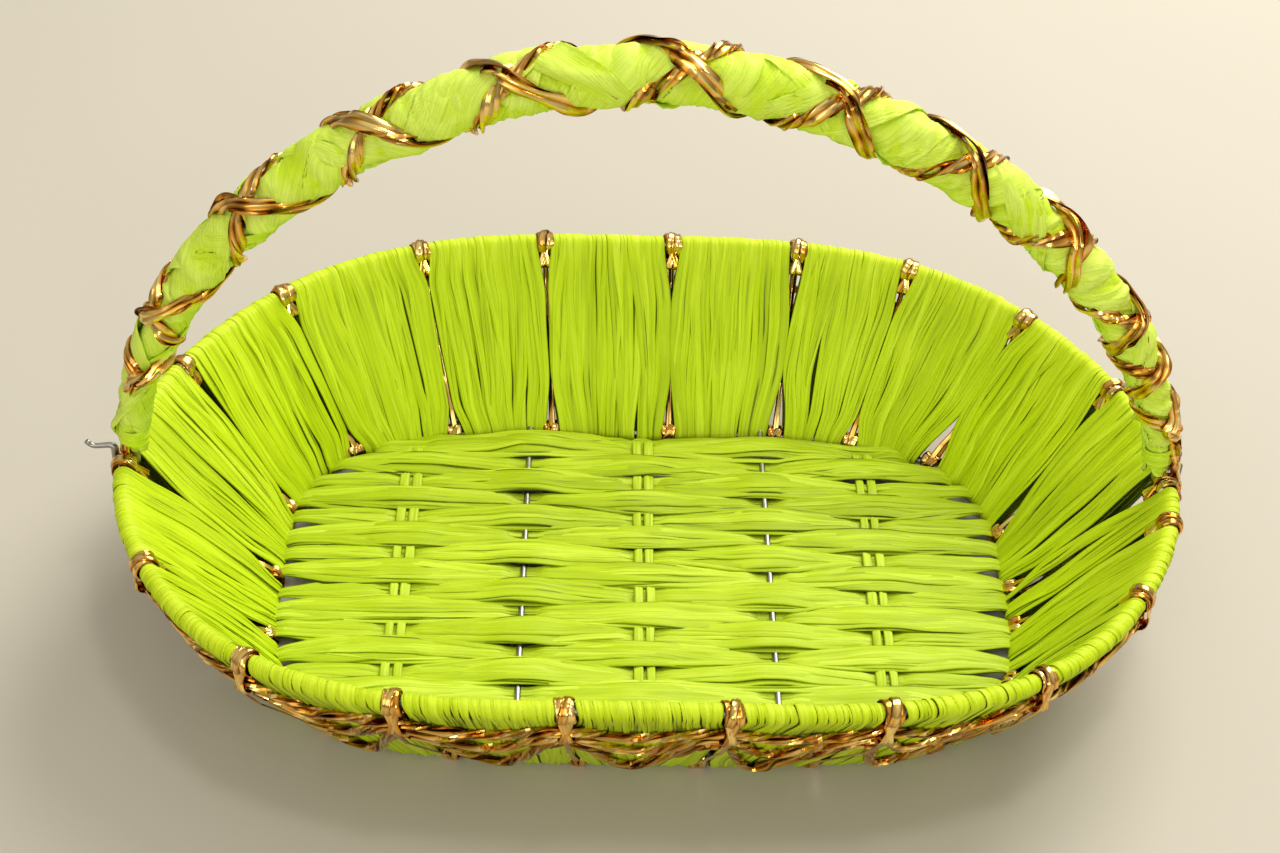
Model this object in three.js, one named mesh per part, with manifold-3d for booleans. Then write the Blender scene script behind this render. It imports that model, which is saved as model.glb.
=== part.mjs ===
// Oval basket with an arched handle.
// Raffia is wound in panels over a steel rim wire and a steel base wire. The floor is woven across two
// steel ribs and three raffia warps. The handle is a steel wire wound with raffia, hooked under the rim.
// Metallic cord is wound round the handle, tied over the rim and draped round the outside.
// Millimetres: X runs along the basket, Y across it, Z up. The basket stands on z = 0.
import * as THREE from 'three';
import { mergeVertices } from 'three/addons/utils/BufferGeometryUtils.js';
import Module from 'manifold-3d';

const wasm = await Module();
wasm.setup();

// Fits between neighbouring pieces
const clearance = 0.35;
const trimClearance = 0.6;

// Steel wires
const rimWireRadius = 1.6;
const baseWireRadius = 1.5;
const ribRadius = 1.2;
const handleWireRadius = 1.6;
const wireSides = 5;

// Rim, on the centreline of its wire: an oval whose ends dip and whose long sides rise
const rimHalfLength = 187;
const rimHalfWidth = 128;
const rimExponent = 2.47;
const rimWaves = 6;
const rimWaveShare = 0.014;
const rimHeight = 65;
const rimEndDip = 3.9;
const rimCornerRise = 1;

// Base ring, on the centreline of its wire
const baseHalfLength = 140.3;
const baseHalfWidth = 86.7;
const baseExponent = 3.59;

// Wall panels, counted round from the right end: each one's share of the rim, and the shares of the
// base ring where the gaps between their feet lie. Two of the gaps hold the handle's hooks.
const panelShares = [
  0.048, 0.049, 0.05, 0.044, 0.049, 0.05, 0.048, 0.057, 0.053, 0.052,
  0.056, 0.06, 0.053, 0.054, 0.052, 0.05, 0.054, 0.056, 0.04, 0.025,
];
const footGapShares = [
  -0.002, 0.036, 0.1, 0.143, 0.182, 0.237, 0.297, 0.347, 0.4, 0.455,
  0.502, 0.542, 0.606, 0.664, 0.72, 0.773, 0.823, 0.88, 0.936, 0.972,
];
const handleGaps = { right: 0, left: 10 };
const panelThickness = 1.2;
const panelGapAtRim = 6.4;
const panelGapAtMiddle = 2;
const panelGapAtBase = 5;
const handleGapAtRim = 12;
const handleGapAtMiddle = 5;
const handleGapSetForward = 2.6;
const panelSegments = 3;
const panelArcSteps = 4;
const standingCut = 0.5;
const standingHalfAngle = THREE.MathUtils.degToRad(20);

// Woven floor: the ribs and warps lie at shares of half the base ring's length. There are as many rows
// of weft as fit between the sides, an odd number of them.
const ribs = { left: { alongShare: -0.324 }, right: { alongShare: 0.339 } };
const ribBend = 4;
const bendSteps = 3;
const warps = { left: { alongShare: -0.656 }, centre: { alongShare: 0 }, right: { alongShare: 0.631 } };
const warpStrandRadius = 0.9;
const warpStrandSpacing = 4.6;
const warpTurnSteps = 4;
const weftStrands = 4;
const weftPitch = 10.3;
const weftSideRoom = 9;
const weftWidth = 9.6;
const weftEndWidth = 5.4;
const weftTaper = 18;
const weftThickness = 1.8;
const weftTurnWidth = 4;
const weftTurnSteps = 4;
const weftEndClearance = 0.9;
const floorOutlineSteps = 96;

// Handle, on the centreline of its wire: an arch whose ends hook under the rim wire
const archRise = 168.5;
const archExponent = 1.82;
const archLean = 4.5;
const archSteps = 46;
const hookSteps = 6;
const hookLeg = 6;
const tailLength = 8;
const tailDrop = 1;
const tailBend = 2.5;

// Raffia winding of the handle, and the band round each of its feet
const wrapTurns = 20;
const wrapSteps = 10;
const wrapGap = 0.7;
const wrapCoreClearance = 0.8;
const wrapFootRadius = 4.4;
const wrapTopRadius = 9.2;
const wrapSwellExponent = 0.6;
const wrapEdgeShare = 0.93;
const footBandRise = 9;
const footBandHeight = 7;
const footBandThickness = 1.2;
const footBandSteps = 12;

// Metallic cord: the two cords of the handle cross in front at these shares of the arch's length
const cordRadius = 2.1;
const cordSides = 5;
const handleCordSteps = 10;
const crossingShares = [0.035, 0.131, 0.234, 0.329, 0.416, 0.516, 0.607, 0.693, 0.78, 0.857, 0.9, 0.947];
const crossingGap = 1;
const crossingExponent = 2;

// Cords draped round the outside: heights of their swags up the wall, at a tie and between two ties.
// Where the ties lie closer than the full span, the swags are shallower in proportion.
const swags = {
  upper: { tieShare: 0.885, lowShare: 0.74 },
  middle: { tieShare: 0.785, lowShare: 0.46 },
  lower: { tieShare: 0.69, lowShare: 0.15 },
};
const swagFullSpan = 45;
const swagSteps = 5;

// Ties of metallic strip between the panels, round the rim wire, the draped cords and the base wire
const tieWidthAtRim = 4;
const tieWidthAtMiddle = 1;
const tieWidthAtBase = 3;
const tieThickness = 0.8;
const tieWireSteps = 3;
const tieCordSteps = 1;
const tieCordAngle = THREE.MathUtils.degToRad(45);
const handleTieShift = 2.2;

// Looks
const looks = {
  raffia: { color: 0xb9dd2f, roughness: 0.75, metalness: 0 },
  cord: { color: 0xb07a3c, roughness: 0.35, metalness: 0.85 },
  steel: { color: 0x8f9390, roughness: 0.35, metalness: 0.9 },
};

// Worked out from the sizes above
const arcSlack = (steps, sweep) => 1 / Math.cos(sweep / steps / 2);
const fattestRingWire = Math.max(rimWireRadius, baseWireRadius);
const panelInnerRadius = (fattestRingWire + clearance) * arcSlack(panelArcSteps, Math.PI);
const panelOuterRadius = panelInnerRadius + panelThickness;
const baseHeight = panelOuterRadius - standingCut;
const floorHeight = baseHeight + baseWireRadius + clearance + ribRadius;
const weaveHeight = ribRadius + clearance + weftThickness / 2;
const cordOffset = panelOuterRadius + trimClearance + cordRadius;
const hookRadius = (rimWireRadius + clearance + handleWireRadius) * arcSlack(hookSteps, Math.PI);
const upward = new THREE.Vector3(0, 0, 1);
const across = new THREE.Vector3(0, 1, 0);

// An oval ring round Z, by the angle from +X, with its height worked out from its own shape
class Oval extends THREE.Curve {
  constructor(halfLength, halfWidth, exponent, waveShare, heightAt) {
    super();
    Object.assign(this, { halfLength, halfWidth, exponent, waveShare, heightAt });
    this.arcLengthDivisions = 1440;
  }

  getPoint(t, target = new THREE.Vector3()) {
    const x = Math.cos(2 * Math.PI * t);
    const y = Math.sin(2 * Math.PI * t);
    const endwise = Math.abs(x / this.halfLength) ** this.exponent;
    const sidewise = Math.abs(y / this.halfWidth) ** this.exponent;
    const turn = Math.atan2(y / this.halfWidth, x / this.halfLength);
    const wave = 1 + this.waveShare * Math.cos(rimWaves * turn);
    const reach = wave * (endwise + sidewise) ** (-1 / this.exponent);
    return target.set(x * reach, y * reach, this.heightAt((endwise - sidewise) / (endwise + sidewise)));
  }

  at(share) {
    return this.getPointAt(THREE.MathUtils.euclideanModulo(share, 1));
  }

  heading(share) {
    return this.getTangentAt(THREE.MathUtils.euclideanModulo(share, 1));
  }
}

// The handle's arch, from its left foot to its right foot, in the plane y = 0
class Arch extends THREE.Curve {
  constructor(halfSpan, footHeight) {
    super();
    Object.assign(this, { halfSpan, footHeight });
    this.arcLengthDivisions = 1000;
  }

  getPoint(t, target = new THREE.Vector3()) {
    const run = -Math.cos(Math.PI * t);
    const lift = Math.abs(Math.sin(Math.PI * t)) ** (2 / archExponent);
    const x = Math.sign(run) * Math.abs(run) ** (2 / archExponent) * this.halfSpan - archLean * lift;
    return target.set(x, 0, this.footHeight + archRise * lift);
  }

  // A point beside the wire: distance along the arch, angle round it from its outer side, radius
  beside(distance, angle, radius) {
    const share = THREE.MathUtils.clamp(distance / this.getLength(), 0, 1);
    const outward = this.getTangentAt(share).cross(across);
    return this.getPointAt(share)
      .addScaledVector(outward, radius * Math.cos(angle))
      .addScaledVector(across, radius * Math.sin(angle));
  }
}

const rimHeightAt = (lie) => rimHeight - rimEndDip * lie + rimCornerRise * (2 * lie * lie - 1);
const rim = new Oval(rimHalfLength, rimHalfWidth, rimExponent, rimWaveShare, rimHeightAt);
const base = new Oval(baseHalfLength, baseHalfWidth, baseExponent, 0, () => baseHeight);
const rimLength = rim.getLength();
const baseLength = base.getLength();
const rimEnd = rim.at(0);
const arch = new Arch(rimEnd.x - hookRadius, rimEnd.z);
const archLength = arch.getLength();

// Closed surface through rings of points, capped at both ends unless it closes on itself
function loft(rings, closed) {
  const size = rings[0].length;
  const index = [];
  const spans = closed ? rings.length : rings.length - 1;
  for (let i = 0; i < spans; i++) {
    const here = i * size;
    const next = ((i + 1) % rings.length) * size;
    for (let j = 0; j < size; j++) {
      const k = (j + 1) % size;
      index.push(here + j, here + k, next + k, here + j, next + k, next + j);
    }
  }
  if (!closed) {
    const last = (rings.length - 1) * size;
    for (let j = 1; j < size - 1; j++) {
      index.push(0, j + 1, j, last, last + j, last + j + 1);
    }
  }
  const points = rings.flat();
  const geometry = new THREE.BufferGeometry().setFromPoints(points);
  geometry.setIndex(volumeOf(points, index) < 0 ? index.reverse() : index);
  return geometry;
}

function volumeOf(points, index) {
  let volume = 0;
  const cross = new THREE.Vector3();
  for (let i = 0; i < index.length; i += 3) {
    cross.crossVectors(points[index[i + 1]], points[index[i + 2]]);
    volume += points[index[i]].dot(cross);
  }
  return volume;
}

// Headings along a line of points, each the bisector of the two spans that meet there
function headingsOf(points, closed) {
  return points.map((point, i) => {
    const before = points[i - 1] ?? (closed ? points.at(-1) : point);
    const after = points[i + 1] ?? (closed ? points[0] : point);
    const arriving = point.clone().sub(before).normalize();
    const leaving = after.clone().sub(point).normalize();
    return arriving.add(leaving).normalize();
  });
}

// Rings of a round tube along points, with the first point of each ring on the side that sides gives
function tubeRings(points, radius, count, sides, closed) {
  const headings = headingsOf(points, closed);
  return points.map((point, i) => {
    const side = sides[i] ?? sides[0];
    const sideways = side.clone().addScaledVector(headings[i], -side.dot(headings[i])).normalize();
    const crosswise = headings[i].clone().cross(sideways);
    return Array.from({ length: count }, (_, j) => {
      const angle = (2 * Math.PI * j) / count;
      return point.clone()
        .addScaledVector(sideways, radius * Math.cos(angle))
        .addScaledVector(crosswise, radius * Math.sin(angle));
    });
  });
}

const wire = (points, radius, side, closed) =>
  loft(tubeRings(points, radius, wireSides, [side], closed), closed);

// The points of a path with each of its corners rounded
function rounded(corners, radius) {
  return corners.flatMap((corner, i) => {
    if (i === 0 || i === corners.length - 1) {
      return [corner];
    }
    const [start, end] = [corners[i - 1], corners[i + 1]].map((neighbour) =>
      corner.clone().addScaledVector(neighbour.clone().sub(corner).normalize(), radius));
    return new THREE.QuadraticBezierCurve3(start, corner, end).getPoints(bendSteps);
  });
}

// Least distance between points of a winding that lie about one turn apart
function leastSelfGap(rings, stepsPerTurn) {
  let least = Infinity;
  rings.forEach((ring, i) => {
    const turnOn = rings.slice(i + stepsPerTurn / 2, i + stepsPerTurn * 2).flat();
    for (const point of ring) {
      least = Math.min(least, ...turnOn.map((other) => point.distanceTo(other)));
    }
  });
  return least;
}

function toSolid(geometry) {
  const bare = geometry.clone();
  bare.deleteAttribute('normal');
  bare.deleteAttribute('uv');
  const merged = mergeVertices(bare);
  return new wasm.Manifold(new wasm.Mesh({
    numProp: 3,
    vertProperties: merged.attributes.position.array,
    triVerts: new Uint32Array(merged.index.array),
  }));
}

function fromSolid(solid) {
  const { vertProperties, triVerts } = solid.getMesh();
  const geometry = new THREE.BufferGeometry();
  geometry.setAttribute('position', new THREE.BufferAttribute(vertProperties, 3));
  geometry.setIndex(new THREE.BufferAttribute(triVerts, 1));
  return geometry;
}

// The wall between a place on the rim and a place on the base ring: the centres of the two wires
// there, and the directions along the wall, up it and out of it
function wallAt({ rimShare, baseShare }) {
  const top = rim.at(rimShare);
  const bottom = base.at(baseShare);
  const along = rim.heading(rimShare).add(base.heading(baseShare)).normalize();
  const rise = top.clone().sub(bottom).normalize();
  const out = along.clone().cross(rise).normalize();
  return { top, bottom, along, rise, out };
}

const onWall = (wall, heightShare, offset) =>
  wall.bottom.clone().lerp(wall.top, heightShare).addScaledVector(wall.out, offset);

const between = (start, end, f) => ({
  rimShare: THREE.MathUtils.lerp(start.rimShare, end.rimShare, f),
  baseShare: THREE.MathUtils.lerp(start.baseShare, end.baseShare, f),
});

// The gaps between panels and the place of the tie in each. At the handle both are set forward, so
// that the hook has room behind the tie.
const gaps = panelShares.map((_, i) => {
  const middle = panelShares.slice(0, i).reduce((sum, share) => sum + share, 0);
  const hook = Object.values(handleGaps).includes(i);
  const forward = (i === handleGaps.right ? -1 : 1) / rimLength;
  const setForward = hook ? forward * handleGapSetForward : 0;
  const tieShift = hook ? forward * handleTieShift : 0;
  return {
    gap: { rimShare: middle + setForward, baseShare: footGapShares[i] },
    tie: { rimShare: middle + setForward + tieShift, baseShare: footGapShares[i] },
    halfAtRim: (hook ? handleGapAtRim : panelGapAtRim) / 2,
    halfAtMiddle: (hook ? handleGapAtMiddle : panelGapAtMiddle) / 2,
    halfAtBase: panelGapAtBase / 2,
  };
});

// The places at the start and the end of panel i. Past the last panel the shares run into the next turn.
function placesAround(i, kind) {
  const turns = Math.floor((i + 1) / gaps.length);
  const { rimShare, baseShare } = gaps[(i + 1) % gaps.length][kind];
  return [gaps[i][kind], { rimShare: rimShare + turns, baseShare: baseShare + turns }];
}

// The edges of panel i, beside its gaps. Each bows towards its gap, by so much halfway up.
function panelEdges(i) {
  return placesAround(i, 'gap').map(({ rimShare, baseShare }, which) => {
    const { halfAtRim, halfAtMiddle, halfAtBase } = gaps[(i + which) % gaps.length];
    const inward = which === 0 ? 1 : -1;
    return {
      rimShare: rimShare + (inward * halfAtRim) / rimLength,
      baseShare: baseShare + (inward * halfAtBase) / baseLength,
      bow: inward * (halfAtMiddle - (halfAtRim + halfAtBase) / 2),
    };
  });
}

// The walls across panel i from edge to edge
function panelStations(i) {
  const [start, end] = panelEdges(i);
  return Array.from({ length: panelSegments + 1 }, (_, j) => {
    const f = j / panelSegments;
    const place = between(start, end, f);
    return { place, wall: wallAt(place), bow: THREE.MathUtils.lerp(start.bow, end.bow, f) };
  });
}

// One layer of a panel at a station: over the rim wire from the inside, down the outer face, under the
// base wire and up the inner face
function layerAt({ wall, bow }, radius) {
  const beside = (centre, outward, rising) => centre.clone()
    .addScaledVector(wall.out, outward * radius)
    .addScaledVector(wall.rise, rising * radius);
  const halfway = (side) => onWall(wall, 1 / 2, side * radius).addScaledVector(wall.along, bow);
  const rimPoints = Array.from({ length: panelArcSteps + 1 }, (_, i) => {
    const angle = (Math.PI * i) / panelArcSteps;
    return beside(wall.top, -Math.cos(angle), Math.sin(angle));
  });
  const down = Math.atan2(wall.rise.z, -wall.out.z);
  const standing = [down - standingHalfAngle, down + standingHalfAngle];
  const basePoints = [0, ...standing, (standing[1] + Math.PI) / 2, Math.PI]
    .map((angle) => beside(wall.bottom, Math.cos(angle), -Math.sin(angle)));
  const points = [...rimPoints, halfway(1), ...basePoints, halfway(-1)];
  points.forEach((point) => {
    point.z = Math.max(point.z, 0);
  });
  return points;
}

function panelGeometry(i) {
  const stations = panelStations(i);
  const outer = stations.map((station) => layerAt(station, panelOuterRadius));
  const inner = stations.map((station) => layerAt(station, panelInnerRadius)).reverse();
  const rings = outer[0].map((_, k) => [...outer, ...inner].map((layer) => layer[k]));
  return loft(rings, true);
}

// The share of the base ring at which its back passes x, found by halving
function backShareAt(x) {
  let [low, high] = [0, 1 / 2];
  for (let width = 1; width * base.arcLengthDivisions ** 2 > 1; width /= 2) {
    const middle = (low + high) / 2;
    [low, high] = base.at(middle).x > x ? [middle, high] : [low, middle];
  }
  return low;
}

// The panel over a place on the base ring, and its wall there
const panelOver = (baseShare) => gaps.findIndex((_, i) => {
  const [start, end] = placesAround(i, 'gap');
  return start.baseShare <= baseShare && baseShare < end.baseShare;
});

function wallOver(baseShare) {
  const [start, end] = panelEdges(panelOver(baseShare));
  return wallAt(between(start, end, (baseShare - start.baseShare) / (end.baseShare - start.baseShare)));
}

// A steel rib: down inside the back wall, over the base wire, across the floor and up inside the front
function ribPoints(x) {
  const share = backShareAt(x);
  const [back, front] = [share, 1 - share].map(wallOver);
  const end = (wall) => wall.top.clone().addScaledVector(wall.rise, -rimWireRadius - clearance);
  const corner = (wall) => wall.bottom.clone()
    .addScaledVector(wall.rise, (floorHeight - baseHeight) / wall.rise.z);
  return rounded([end(back), corner(back), corner(front), end(front)], ribBend);
}

// The oval that the raffia of the floor fills, inside the feet of the panels
const floorInset = panelOuterRadius + weftEndClearance;
const floorOval = new Oval(
  baseHalfLength - floorInset, baseHalfWidth - floorInset, baseExponent, 0, () => 0);
const ovalShare = (share) => (1 - Math.abs(share) ** baseExponent) ** (1 / baseExponent);
const floorEndAt = (y) => floorOval.halfLength * ovalShare(y / floorOval.halfWidth);
const floorSideAt = (x) => floorOval.halfWidth * ovalShare(x / floorOval.halfLength);

// A raffia warp: a pair of strands that turn back at both sides of the floor
function warpPoints(x) {
  const halfSpacing = warpStrandSpacing / 2;
  const strandSide = Math.abs(x) + halfSpacing + warpStrandRadius;
  const straight = floorSideAt(strandSide) - warpStrandRadius - halfSpacing;
  return [straight, -straight].flatMap((turnY, side) => Array.from({ length: warpTurnSteps + 1 }, (_, i) => {
    const angle = Math.PI * (side + i / warpTurnSteps);
    return new THREE.Vector3(
      x + halfSpacing * Math.cos(angle), turnY + halfSpacing * Math.sin(angle), floorHeight);
  }));
}

// Where a row of weft crosses the warps and the ribs, with half the length it takes to cross
const warpReach = warpStrandSpacing / 2 + warpStrandRadius + weftThickness / 2;
const ribReach = ribRadius + weftThickness;
const crossings = [
  ...Object.values(warps).map((warp) => ({ ...warp, isRib: false, reach: warpReach })),
  ...Object.values(ribs).map((rib) => ({ ...rib, isRib: true, reach: ribReach })),
]
  .map((crossing) => ({ ...crossing, x: crossing.alongShare * baseHalfLength }))
  .sort((one, other) => one.x - other.x);

const rowsBesideMiddle = Math.floor((floorOval.halfWidth - weftSideRoom) / weftPitch);
const weftRows = 2 * rowsBesideMiddle + 1;
const weftRowsPerStrand = Math.ceil(weftRows / weftStrands);
const rowY = (row) => weftPitch * (rowsBesideMiddle - row);

// A row of weft: over and under the warps and ribs, narrowing towards its ends
function weftRow(row) {
  const end = floorEndAt(rowY(row)) + weftEndClearance;
  const overRibs = row % 2 === 0;
  const levels = [
    { x: -end, z: 0 },
    ...crossings.flatMap(({ x, isRib, reach }) => {
      const z = isRib === overRibs ? weaveHeight : -weaveHeight;
      return [{ x: x - reach, z }, { x: x + reach, z }];
    }),
    { x: end, z: 0 },
  ];
  const levelAt = (x) => {
    const next = Math.max(1, levels.findIndex((level) => level.x >= x));
    const [from, to] = [levels[next - 1], levels[next]];
    return THREE.MathUtils.mapLinear(x, from.x, to.x, from.z, to.z);
  };
  const stations = [...levels.map((level) => level.x), weftTaper - end, end - weftTaper];
  return loft(stations.sort((one, other) => one - other).map((x) => {
    const narrowing = Math.max(0, 1 - (end - Math.abs(x)) / weftTaper);
    const halfWidth = THREE.MathUtils.lerp(weftWidth, weftEndWidth, narrowing) / 2;
    return flatRing(x, [rowY(row) - halfWidth, rowY(row) + halfWidth], levelAt(x));
  }), false);
}

function flatRing(x, [fromY, toY], level) {
  const [below, above] = [-1, 1].map((face) => floorHeight + level + (face * weftThickness) / 2);
  return [[fromY, below], [toY, below], [toY, above], [fromY, above]].map(([y, z]) =>
    new THREE.Vector3(x, y, z));
}

// The turn of a strand from one row into the next, along the end of the floor
function weftTurn(row, side) {
  const rings = Array.from({ length: weftTurnSteps + 1 }, (_, i) => {
    const y = THREE.MathUtils.lerp(rowY(row), rowY(row + 1), i / weftTurnSteps);
    const [inner, outer] = [floorEndAt(y) - weftTurnWidth, floorEndAt(y) + weftEndClearance];
    const [below, above] = [-1, 1].map((face) => floorHeight + (face * weftThickness) / 2);
    return [[inner, below], [outer, below], [outer, above], [inner, above]].map(([x, z]) =>
      new THREE.Vector3(side * x, y, z));
  });
  return loft(rings, false);
}

// A strand of weft: its rows and the turns between them, trimmed to the oval of the floor
function weftStrand(firstRow) {
  const rows = Array.from({ length: weftRowsPerStrand }, (_, i) => firstRow + i)
    .filter((row) => row < weftRows);
  const turns = rows.slice(0, -1).map((row) => weftTurn(row, (row - firstRow) % 2 === 0 ? 1 : -1));
  const strand = [...rows.map(weftRow), ...turns].map(toSolid).reduce((all, solid) => all.add(solid));
  const outline = new THREE.Shape(floorOval.getPoints(floorOutlineSteps).map(({ x, y }) =>
    new THREE.Vector2(x, y)));
  const floor = new THREE.ExtrudeGeometry(outline, { depth: 2 * floorHeight, bevelEnabled: false });
  return fromSolid(strand.intersect(toSolid(floor)));
}

// The hook at one foot of the handle, from the outside of the rim wire to its inside
const hookPoints = (side) => Array.from({ length: hookSteps + 1 }, (_, i) => {
  const angle = (Math.PI * i) / hookSteps;
  return new THREE.Vector3(
    side * (rimEnd.x + hookRadius * Math.cos(angle)), 0, rimEnd.z - hookRadius * Math.sin(angle));
});

function handleWirePoints() {
  const [left, right] = [hookPoints(-1), hookPoints(1)];
  const [leftLegTop, rightLegTop] = [left, right].map((hook) =>
    hook[0].clone().addScaledVector(upward, hookLeg));
  const tailTip = leftLegTop.clone().add(new THREE.Vector3(-tailLength, 0, -tailDrop));
  return [
    ...rounded([tailTip, leftLegTop, left[0]], tailBend),
    ...left.slice(1, -1),
    ...arch.getSpacedPoints(archSteps),
    ...right.reverse().slice(1),
    rightLegTop,
  ];
}

// The raffia winding of the handle, from just above the rim at one foot to the same place at the other
const wrapStart = panelOuterRadius + trimClearance;
const wrapPitch = (archLength - 2 * wrapStart + wrapGap) / (wrapTurns + 1);
const wrapHalfWidth = (wrapPitch - wrapGap) / 2;
const wrapInnerRadius = (handleWireRadius + wrapCoreClearance) * arcSlack(wrapSteps, 2 * Math.PI);
const wrapRadiusAt = (distance) => THREE.MathUtils.lerp(
  wrapFootRadius, wrapTopRadius, Math.sin((Math.PI * distance) / archLength) ** wrapSwellExponent);

const wrapRings = Array.from({ length: wrapTurns * wrapSteps + 1 }, (_, i) => {
  const angle = (2 * Math.PI * i) / wrapSteps;
  const middle = wrapStart + wrapHalfWidth + (wrapPitch * i) / wrapSteps;
  const inner = [-1, 0, 1].map((lie) => arch.beside(middle + lie * wrapHalfWidth, angle, wrapInnerRadius));
  const outer = [1, 0, -1].map((lie) => {
    const distance = middle + lie * wrapHalfWidth;
    return arch.beside(distance, angle, wrapRadiusAt(distance) * (lie === 0 ? 1 : wrapEdgeShare));
  });
  return [...inner, ...outer];
});
console.log('least gap between turns of the handle winding', leastSelfGap(wrapRings, wrapSteps));

// A band round one foot of the winding, from a distance along the arch
function footBand(start) {
  const ends = [start, start + footBandHeight];
  const snug = Math.max(...ends.map(wrapRadiusAt)) + clearance;
  const radii = [0, footBandThickness].map((layer) => snug * arcSlack(footBandSteps, 2 * Math.PI) + layer);
  const corners = [[ends[0], radii[0]], [ends[1], radii[0]], [ends[1], radii[1]], [ends[0], radii[1]]];
  const rings = Array.from({ length: footBandSteps }, (_, i) =>
    corners.map(([distance, radius]) => arch.beside(distance, (2 * Math.PI * i) / footBandSteps, radius)));
  return loft(rings, true);
}

// A cord wound round the handle, one way or the other. The one that crosses over is lifted there.
function handleCord(name, sense, lift) {
  const steps = (crossingShares.length - 1) * handleCordSteps;
  const places = Array.from({ length: steps + 1 }, (_, i) => {
    const turn = Math.min(Math.floor(i / handleCordSteps), crossingShares.length - 2);
    const f = i / handleCordSteps - turn;
    const distance = archLength * THREE.MathUtils.lerp(crossingShares[turn], crossingShares[turn + 1], f);
    const swing = 2 * Math.PI * f;
    const rise = lift * ((1 + Math.cos(2 * swing)) / 2) ** crossingExponent;
    const snug = wrapRadiusAt(distance) + trimClearance + cordRadius;
    const angle = -Math.PI / 2 + sense * swing;
    return {
      point: arch.beside(distance, angle, snug * arcSlack(handleCordSteps, 2 * Math.PI) + rise),
      side: arch.beside(distance, angle, 1).sub(arch.beside(distance, angle, 0)),
    };
  });
  const rings = tubeRings(
    places.map(({ point }) => point), cordRadius, cordSides, places.map(({ side }) => side), false);
  console.log('least gap between turns of the', name, 'handle cord', leastSelfGap(rings, handleCordSteps));
  return loft(rings, false);
}

// A cord draped round the wall: level at each tie, and hanging down between two of them
function swagCord({ tieShare, lowShare }) {
  const places = gaps.flatMap((_, i) => {
    const [start, end] = placesAround(i, 'tie');
    const span = (end.rimShare - start.rimShare) * rimLength;
    const rest = (tieWidthAtRim / 2 + trimClearance) / span;
    const depth = Math.min(1, span / swagFullSpan);
    return Array.from({ length: swagSteps + 1 }, (_, j) => {
      const f = j / swagSteps;
      const wall = wallAt(between(start, end, THREE.MathUtils.lerp(rest, 1 - rest, f)));
      const sag = (depth * (1 - Math.cos(2 * Math.PI * f))) / 2;
      const heightShare = THREE.MathUtils.lerp(tieShare, lowShare, sag);
      return { point: onWall(wall, heightShare, cordOffset), side: wall.out };
    });
  });
  const points = places.map(({ point }) => point);
  return loft(tubeRings(points, cordRadius, cordSides, places.map(({ side }) => side), true), true);
}

// The width of a tie, by its height up the wall: drawn in where it passes between the panels
const tieWidthAt = (heightShare) => (heightShare > 1 / 2
  ? THREE.MathUtils.lerp(tieWidthAtMiddle, tieWidthAtRim, 2 * heightShare - 1)
  : THREE.MathUtils.lerp(tieWidthAtBase, tieWidthAtMiddle, 2 * heightShare));

// What a tie is wound round, as circles in the plane of the wall's rise: distance out and up, and radius
function tieCores(height) {
  const wireSlack = arcSlack(tieWireSteps, Math.PI);
  const cordSlack = arcSlack(tieCordSteps, tieCordAngle);
  const cordAt = (heightShare) => ({
    centre: new THREE.Vector2(cordOffset, height * heightShare),
    radius: (cordRadius + clearance) * cordSlack,
    steps: tieCordSteps,
  });
  const wireAt = (heightUp, radius) => ({
    centre: new THREE.Vector2(0, heightUp),
    radius: (radius + clearance) * wireSlack,
    steps: tieWireSteps,
  });
  return [
    wireAt(height, rimWireRadius),
    cordAt(swags.upper.tieShare),
    cordAt(swags.lower.tieShare),
    wireAt(0, baseWireRadius),
  ];
}

// The direction out of the straight run of a belt from one circle to the next
function runNormal(from, to) {
  const ahead = to.centre.clone().sub(from.centre);
  const lean = (from.radius - to.radius) / ahead.length();
  ahead.normalize();
  const square = new THREE.Vector2(-ahead.y, ahead.x).multiplyScalar(Math.sqrt(1 - lean * lean));
  return square.addScaledVector(ahead, lean);
}

// A tie: a belt round its cores, with a point halfway up the wall on both of its long runs
function tieGeometry(place) {
  const wall = wallAt(place);
  const height = wall.top.distanceTo(wall.bottom);
  const cores = tieCores(height);
  const normals = cores.map((core, i) => runNormal(core, cores[(i + 1) % cores.length]));
  const outline = cores.flatMap(({ centre, radius, steps }, i) => {
    const from = normals.at(i - 1).angle();
    const turn = -THREE.MathUtils.euclideanModulo(from - normals[i].angle(), 2 * Math.PI);
    const arc = Array.from({ length: steps + 1 }, (_, j) => {
      const angle = from + (turn * j) / steps;
      const normal = new THREE.Vector2(Math.cos(angle), Math.sin(angle));
      return { point: centre.clone().addScaledVector(normal, radius), normal };
    });
    const next = cores[(i + 1) % cores.length];
    const leaving = arc.at(-1).point;
    const arriving = next.centre.clone().addScaledVector(normals[i], next.radius);
    const f = (height / 2 - leaving.y) / (arriving.y - leaving.y);
    return f > 0 && f < 1 ? [...arc, { point: leaving.clone().lerp(arriving, f), normal: normals[i] }] : arc;
  });
  return loft(outline.map(({ point, normal }) => {
    const halfWidth = tieWidthAt(THREE.MathUtils.clamp(point.y / height, 0, 1)) / 2;
    return [[0, -1], [0, 1], [tieThickness, 1], [tieThickness, -1]].map(([layer, side]) => {
      const { x, y } = point.clone().addScaledVector(normal, layer);
      const corner = wall.bottom.clone()
        .addScaledVector(wall.out, x)
        .addScaledVector(wall.rise, y)
        .addScaledVector(wall.along, side * halfWidth);
      corner.z = Math.max(corner.z, 0);
      return corner;
    });
  }), true);
}

const basket = new THREE.Group();
basket.name = 'basket';
const [frame, walls, floor, handle, trim] = ['frame', 'walls', 'floor', 'handle', 'trim'].map((name) => {
  const group = new THREE.Group();
  group.name = name;
  basket.add(group);
  return group;
});

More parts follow.
